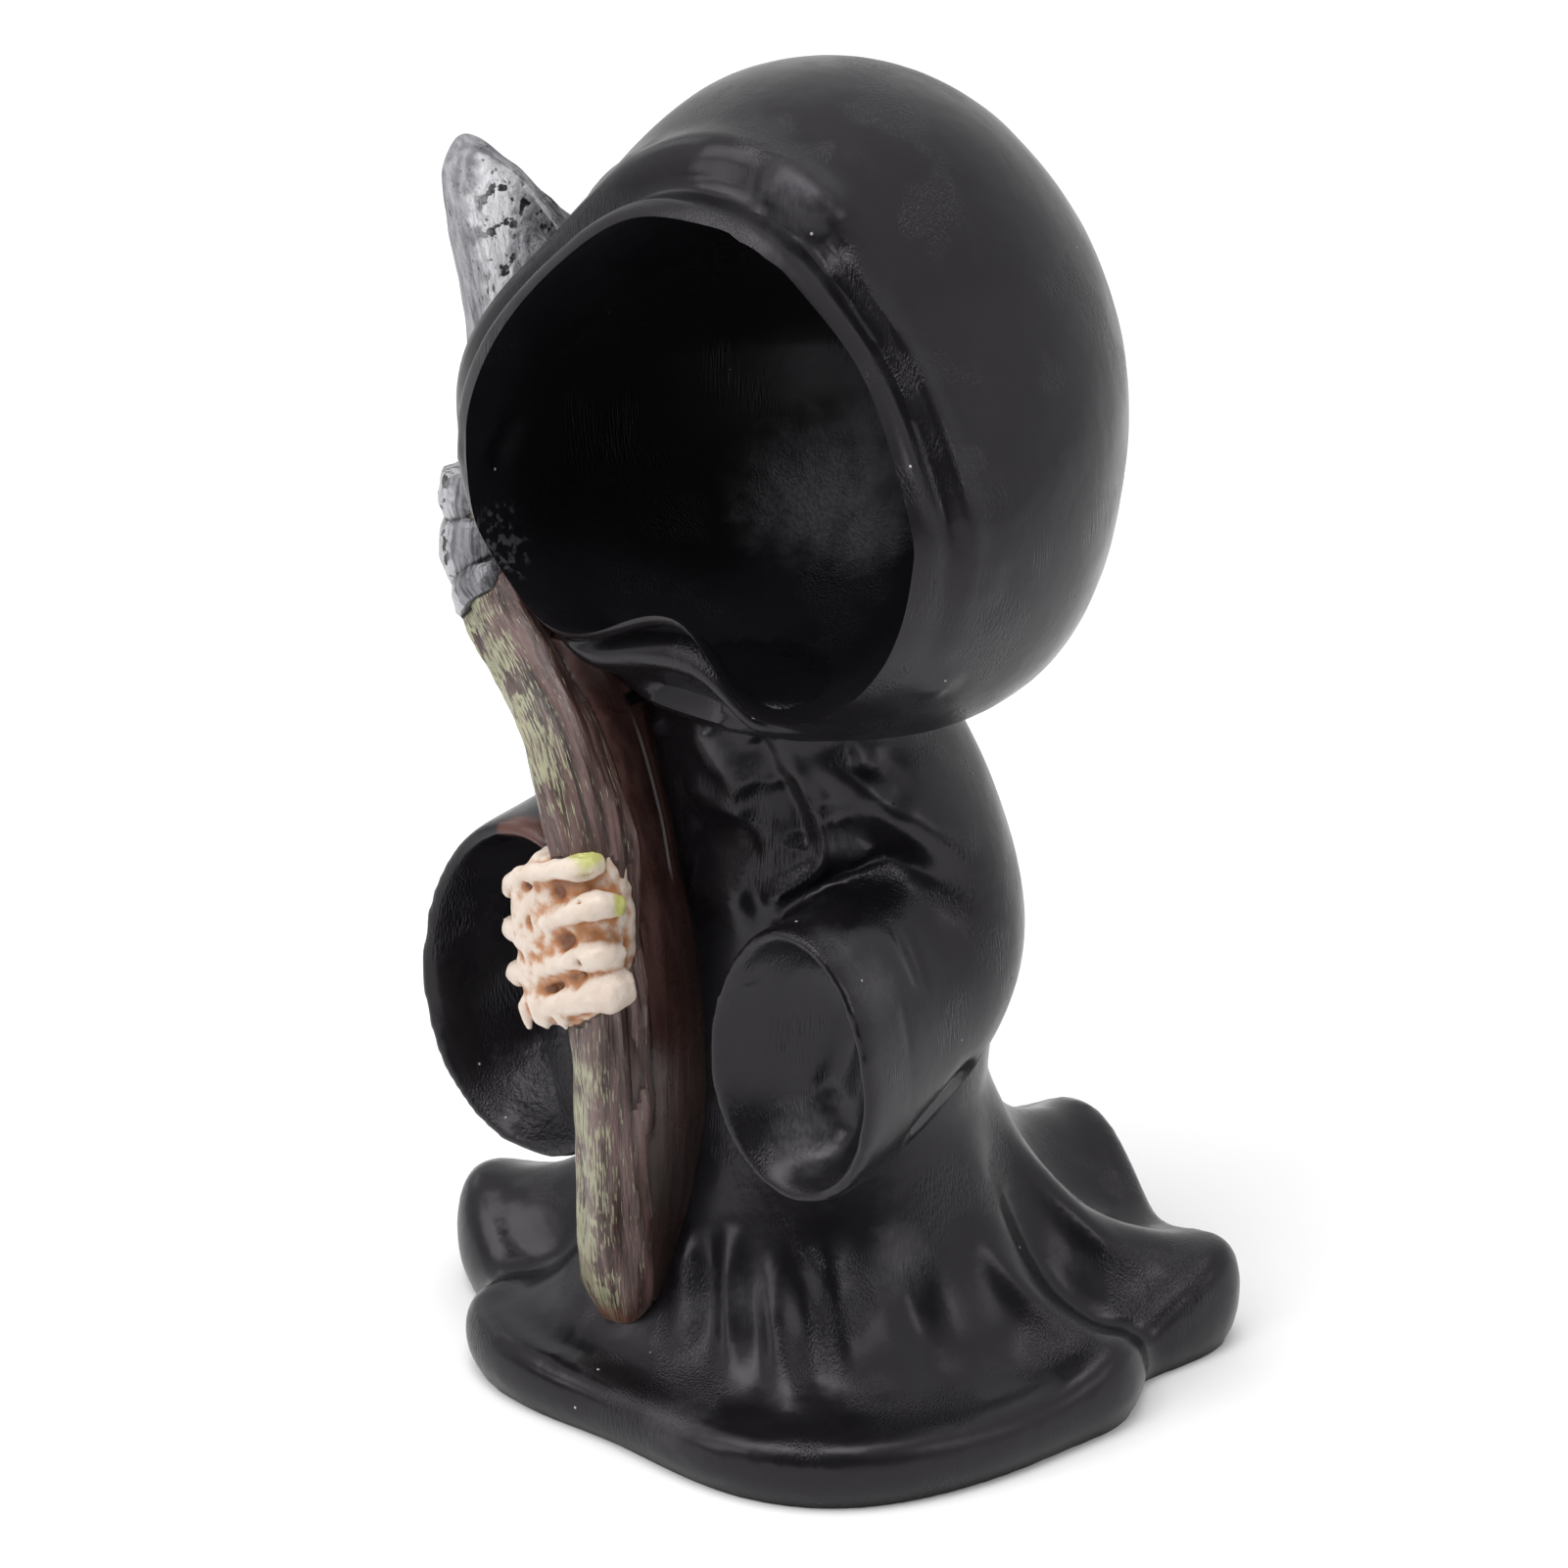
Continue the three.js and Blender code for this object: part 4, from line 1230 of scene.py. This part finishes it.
class Paint:
    """A material's node tree, so that a paint can be written as sums of named masks."""

    def __init__(self, name):
        self.tree = paints[name].node_tree
        self.tree.nodes.clear()
        output = self.tree.nodes.new("ShaderNodeOutputMaterial")
        self.shader = self.tree.nodes.new("ShaderNodeBsdfPrincipled")
        self.tree.links.new(self.shader.outputs[0], output.inputs[0])
        self.place = self.node("TexCoord", out="Object")

    def feed(self, socket, value):
        if isinstance(value, Mask):
            self.tree.links.new(value.socket, socket)
        else:
            socket.default_value = value

    def node(self, kind, inputs=(), out=0, **settings):
        """One node: inputs pairs a socket's name or number with a value or a mask."""
        made = self.tree.nodes.new("ShaderNode" + kind)
        for key, value in settings.items():
            setattr(made, key, value)
        for key, value in dict(inputs).items():
            self.feed(made.inputs[key], value)
        return Mask(self, made.outputs[out])

    def math(self, operation, a, b):
        return self.node("Math", {0: a, 1: b}, operation=operation)

    def kept(self, name, out="Fac"):
        return self.node("Attribute", out=out, attribute_name=name)

    def sized(self, vector, scale, turned=(0, 0, 0)):
        return self.node("Mapping", {"Vector": vector, "Scale": scale, "Rotation": turned})

    def noise(self, millimetres, detail=3, vector=None, unit=MM):
        scale = 1 / (millimetres * unit)
        inputs = {"Vector": vector or self.place, "Scale": scale, "Detail": detail}
        return self.node("TexNoise", inputs)

    def streaks(self, vector, scale, detail, turned=(0, 0, 0)):
        """Noise drawn out along the vector's third part: scale is in marks to its unit."""
        return self.noise(1, detail, self.sized(vector, scale, turned), 1)

    def mixed(self, factor, under, over):
        under, over = (c if isinstance(c, Mask) else (*c, 1) for c in (under, over))
        return self.node("Mix", {0: factor, 6: under, 7: over}, out=2, data_type="RGBA")

    def spots(self, cell, radius, share, seed):
        """Small round marks: about one to a cell, in a share of the cells, sizes in mm."""
        place = self.node("VectorMath", {0: self.place, 1: (seed * MM,) * 3}, operation="ADD")
        cells = {"Vector": place, "Scale": 1 / (cell * MM)}
        gap = self.node("TexVoronoi", cells, out="Distance")
        colour = self.node("TexVoronoi", cells, out="Color")
        chosen = self.node("SeparateColor", {0: colour}, out="Red").spread(1 - share, 1.01 - share)
        return chosen * gap.spread(0.5 * radius / cell, 1.2 * radius / cell, 1, 0)

    def distance(self, spot):
        inputs = {0: self.place, 1: Vector(spot) * MM}
        return self.node("VectorMath", inputs, out="Value", operation="DISTANCE")

    def near(self, spot, radius, ragged=0.35):
        """A ragged patch about a spot, both in millimetres."""
        torn = self.distance(spot) + (self.noise(1.6) - 0.5) * (ragged * radius * MM * 2)
        return torn.spread(0.55 * radius * MM, radius * MM, 1, 0)

    def patches(self, spots):
        """Soft patches about many spots at once: each is a place, a radius and a strength."""
        ragged = self.noise(1.6) - 0.5
        total = 0.0
        for spot, radius, strength in spots:
            torn = self.distance(spot) + ragged * (0.8 * radius * MM)
            total = self.math("MAXIMUM", torn.spread(0, radius * MM, strength, 0), total)
        return total

    def finish(self, colour, roughness, bumps, metallic=0.0):
        """bumps pairs a mask of height with its height in millimetres."""
        total = 0.0
        for height, millimetres in bumps:
            total = height * millimetres + total
        bump = self.node("Bump", {"Height": total, "Strength": 1.0, "Distance": MM})
        looks = {"Base Color": colour, "Roughness": roughness, "Metallic": metallic, "Normal": bump}
        for socket, value in looks.items():
            self.feed(self.shader.inputs[socket], value)


# %% [markdown]
# The black is brushed on thick: satin, with patches where the bristles have left fine lines,
# a skin like orange peel, pinholes where the resin had bubbles, and dust caught in the paint.
# Grey patches with the texture of a dry brush are painted highlights, and the largest is a painted
# glow at the back of the hollow.

# %% The black
# Painted highlights, grey with a dry brush's texture, and a painted glow at the back of the hollow:
# place, radius and strength.
PAINTED_HIGHLIGHT_PATCHES = [
    ((-6.2, 10.7, 69.3), 8.0, 0.38),
    ((-1.0, 10.4, 67.8), 5.0, 0.30),
    ((11.8, -13.6, 28.6), 4.0, 0.26),
    ((12.9, -12.6, 31.8), 2.4, 0.18),
    ((14.7, -4.2, 14.2), 4.2, 0.13),
    ((1.6, -14.4, 9.4), 3.0, 0.12),
    ((6.2, -12.5, 11.8), 3.0, 0.12),
    ((5.4, -21.7, 5.0), 4.4, 0.10),
    ((-15.2, -11.9, 23.1), 5.5, 0.24),
    ((7.0, -9.1, 102.5), 4.2, 0.12),
    ((1.5, -11.9, 57.9), 2.6, 0.10),
    ((10.4, -6.4, 50.6), 2.4, 0.16),
    ((15.2, -14.5, 47.0), 2.8, 0.11),
    ((18.5, -13.5, 43.5), 3.6, 0.09),
]
# Each of these is a place, a radius and how ragged its edge is.
SMEAR_ON_CUFF = ((-13.5, -17.0, 47.8), 2.8, 0.25)
SCUFF_ON_LIP = ((-17.5, -13.5, 70.5), 3.4, 0.6)
ROUGH_IN_SLEEVE = ((-11.5, -12.0, 24.5), 7, 0.2)
DULL_ON_CROWN = ((6.6, -9.0, 102.6), 5, 0.3)


def brush_lines(paint, across, length, turned):
    """Fine parallel lines of a brush, in patches."""
    lines = paint.noise(across, 2, paint.sized(paint.place, (1, 1, across / length), turned))
    return (lines - 0.5) * paint.noise(7, 2).spread(0.48, 0.62)


def paint_black():
    paint = Paint("black_resin")
    cloud = paint.noise(11, 4)
    lines = brush_lines(paint, 0.16, 2.2, (0.5, 0.3, 0))
    pinholes = paint.spots(4.2, 0.13, 0.3, 11)
    dust = paint.spots(3.1, 0.13, 0.30, 47)
    grit = paint.spots(7.5, 0.14, 0.12, 83)
    rough_lump = paint.near(*ROUGH_IN_SLEEVE)
    scuff = paint.near(*SCUFF_ON_LIP) * paint.noise(0.7, 4).spread(0.5, 0.62)
    bristles = paint.noise(0.3, 2, paint.sized(paint.place, (1, 1, 0.12), (0.15, 0.2, 0)))
    # Grey painted highlights and a painted glow in the hollow, with the texture of a dry brush.
    painted_highlight = paint.patches(PAINTED_HIGHLIGHT_PATCHES) * bristles.spread(0.3, 0.65, 0.6, 1)
    colour = paint.mixed(cloud, (0.0032, 0.0028, 0.0036), (0.0075, 0.0066, 0.0084))
    for mask, tone in (
        (scuff, (0.06, 0.057, 0.062)),
        (paint.near(*SMEAR_ON_CUFF), (0.10, 0.045, 0.035)),
        (painted_highlight, (0.30, 0.29, 0.315)),
        (pinholes, (0.001, 0.001, 0.001)),
        (dust, (0.55, 0.50, 0.47)),
        (grit, (0.16, 0.15, 0.15)),
    ):
        colour = paint.mixed(mask, colour, tone)
    hollow = paint.kept("hollow")
    dull = paint.math("MAXIMUM", hollow, paint.near(*DULL_ON_CROWN))
    roughness = cloud.spread(0.3, 0.7, 0.22, 0.34)
    for mask, rougher in ((rough_lump, 0.2), (dust, 0.4), (painted_highlight, 0.2), (dull, 0.13)):
        roughness = roughness + mask * rougher
    bumps = [
        (lines, 0.09),
        (painted_highlight * bristles, 0.12),
        (paint.noise(0.9, 2), 0.018),
        (paint.noise(4.5, 2) * hollow.spread(0, 1, 1, 0.25), 0.10),
        (pinholes, -0.09),
        (dust, 0.04),
        (grit, 0.05),
        (rough_lump * paint.noise(0.5, 4), 0.5),
    ]
    paint.shader.inputs["Specular IOR Level"].default_value = 0.32
    paint.shader.inputs["Specular Tint"].default_value = (0.98, 0.93, 1.0, 1)
    paint.finish(colour, roughness, bumps)


paint_black()
# The patches counted here are painted highlights.
print("black laid on, with", len(PAINTED_HIGHLIGHT_PATCHES), "dry patches")

# %% [markdown]
# The staff is brown with an olive dry brush, the web is a thinner and glossier brown, the hand
# is ivory with a brown wash, and the blade is silver brushed over black.

# %% The colours
# The side of the staff that the olive brush has met, in the staff's own grain.
BRUSHED_SIDE = (0.89, 0.45, 0.0)
# The red-brown foot of the staff and the two fingertips with a greenish stain, in millimetres.
STAFF_FOOT = ((-5.8, -15.5, 6.5), 3.2)
STAINS = [((-3.6, -20.4, 51.0), 2.0, 0.4), ((-0.9, -19.6, 47.2), 1.3, 0.4)]


def paint_staff():
    paint = Paint("staff_paint")
    grain = paint.kept("grain", "Vector")
    high = paint.place.part("Z")
    streaks = paint.streaks(grain, (1.4, 1.4, 0.16), 4)
    fine = paint.streaks(grain, (5.5, 5.5, 0.8), 4, (0, 0.12, 0))
    base = paint.mixed(streaks.spread(0.36, 0.64), (0.046, 0.023, 0.019), (0.140, 0.084, 0.078))
    furrow = (paint.kept("fine_relief") + streaks * 0.2).spread(-0.02, 0.07, 1, 0)
    base = paint.mixed(furrow * 0.75, base, (0.016, 0.009, 0.008))
    inputs = {0: grain, 1: BRUSHED_SIDE}
    leftness = paint.node("VectorMath", inputs, out="Value", operation="DOT_PRODUCT")
    off_middle = high.spread(35 * MM, 31 * MM) + high.spread(50 * MM, 56 * MM)
    where = leftness.spread(-1.2, 1.8) * (off_middle + 0.15)
    where = where * paint.noise(3.2, 3).spread(0.30, 0.56)
    scratch = paint.streaks(grain, (8.5, 8.5, 0.7), 3, (0, 0.10, 0))
    catch = (scratch + where * 0.2).spread(0.63, 0.70)
    olive = paint.mixed(paint.noise(2.2, 3), (0.20, 0.20, 0.13), (0.43, 0.43, 0.27))
    colour = paint.mixed(catch * 0.9, base, olive)
    colour = paint.mixed(paint.near(*STAFF_FOOT) * 0.6, colour, (0.20, 0.075, 0.045))
    bumps = [(fine, 0.12), (streaks, 0.22), (paint.noise(0.4, 3), 0.03)]
    paint.finish(colour, fine.spread(0.3, 0.7, 0.28, 0.46), bumps)


def paint_web():
    """across runs from 0 at the staff to 1 at the web's front edge, and high is in mm."""
    paint = Paint("web_paint")
    grain = paint.kept("grain", "Vector")
    across, high = grain.part("X"), grain.part("Z")
    drag = paint.streaks(paint.place, (900, 900, 110), 3)
    colour = paint.mixed(drag.spread(0.35, 0.65), (0.050, 0.022, 0.018), (0.100, 0.050, 0.043))
    # Painted shade: the web is darker towards its front edge, where it meets the robe.
    shade = (across + paint.noise(4) * 0.5).spread(0.75, 1.15)
    edge = across.spread(0.955, 0.975) * across.spread(1.0, 1.03, 1, 0)
    # The pale line on the seam at the front edge shows only between 44 and 58 mm high: a real seam
    # with a painted highlight on it.
    seam_highlight = high.spread(44, 46) * high.spread(55, 58, 1, 0)
    for mask, tone in (
        (shade * 0.7, (0.020, 0.009, 0.008)),
        (across.spread(1.0, 1.06), (0.005, 0.0045, 0.0055)),
        # Painted shade: the web is darker towards the bottom, below the hand.
        (high.spread(20, 32, 1, 0) * 0.8, (0.010, 0.006, 0.005)),
        (seam_highlight * edge * 0.5, (0.40, 0.38, 0.37)),
    ):
        colour = paint.mixed(mask, colour, tone)
    bumps = [(drag, 0.08), (paint.noise(0.7, 3), 0.02)]
    paint.finish(colour, paint.noise(5).spread(0.3, 0.7, 0.22, 0.38), bumps)


def paint_bone():
    paint = Paint("bone_paint")
    relief = paint.kept("fine_relief") + paint.kept("broad_relief") * 0.6
    deep = relief + (paint.noise(0.7, 4) - 0.5) * 0.45
    ivory = paint.mixed(paint.noise(2.0, 3), (0.57, 0.45, 0.36), (0.70, 0.62, 0.55))
    colour = paint.mixed(deep.spread(-0.16, 0.13, 1, 0), ivory, (0.42, 0.18, 0.07))
    colour = paint.mixed(deep.spread(-0.42, -0.12, 1, 0), colour, (0.20, 0.075, 0.03))
    stained = paint.near(*STAINS[0]) + paint.near(*STAINS[1])
    colour = paint.mixed(stained * 0.9, colour, (0.45, 0.46, 0.12))
    bumps = [(paint.noise(0.45, 4), 0.08), (paint.noise(1.6, 3), 0.08)]
    paint.finish(colour, paint.noise(1.2, 3).spread(0.3, 0.7, 0.32, 0.5), bumps)


def paint_silver(name, bare_height, dark, light, ridge_highlight):
    """Silver dragged over black. It misses what lies under bare_height, and the last argument
    sets the pale band along the ridge of a blade: silver rubbed there, with a painted highlight."""
    paint = Paint(name)
    grain = paint.kept("grain", "Vector")
    streaks = paint.streaks(grain, (3, 3, 0.25), 4)
    scratches = paint.streaks(grain, (6, 6, 0.8), 2, (0, 0.2, 0))
    hammered = paint.noise(1.1, 3)
    wander = grain.part("X") + (hammered - 0.5) * 1.8
    ridge = wander.spread(0.7, 1.3) * wander.spread(2.3, 3.0, 1, 0)
    worn = paint.kept("fine_relief") + (streaks - 0.5) * 0.4
    silver = worn.spread(bare_height - 0.15, bare_height)
    pits = hammered.spread(0.38, 0.43, 1, 0) * (ridge + 0.08)
    tone = paint.mixed(streaks.spread(0.35, 0.65), dark, light)
    # A pale band along the ridge: rubbed silver with a painted highlight. On the collar it lies
    # along one side.
    tone = paint.mixed(ridge * ridge_highlight, tone, (0.95, 0.95, 0.98))
    tone = paint.mixed(scratches.spread(0.66, 0.70) * 0.8, tone, (0.03, 0.03, 0.032))
    colour = paint.mixed(silver, (0.014, 0.013, 0.015), tone)
    colour = paint.mixed(pits * 0.9, colour, (0.012, 0.011, 0.013))
    bumps = [(streaks, 0.12), (scratches, -0.05), (hammered, 0.25), (paint.noise(0.5, 4), 0.03)]
    paint.finish(colour, streaks.spread(0.3, 0.7, 0.30, 0.46), bumps, silver * 0.35)


paint_staff()
paint_web()
paint_bone()
paint_silver("silver_paint", -0.05, (0.22, 0.22, 0.24), (0.42, 0.42, 0.44), 0.6)
paint_silver("collar_paint", 0.10, (0.10, 0.10, 0.11), (0.24, 0.24, 0.26), 0.3)
print("brown, olive, ivory and silver laid on")

# %% The figure takes its place
SHARPER_THAN = 50
set_places(figure, places(figure) * MM)
pick(figure)
bpy.ops.object.shade_smooth_by_angle(angle=math.radians(SHARPER_THAN))
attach(figure, "root")
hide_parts(SOLID)
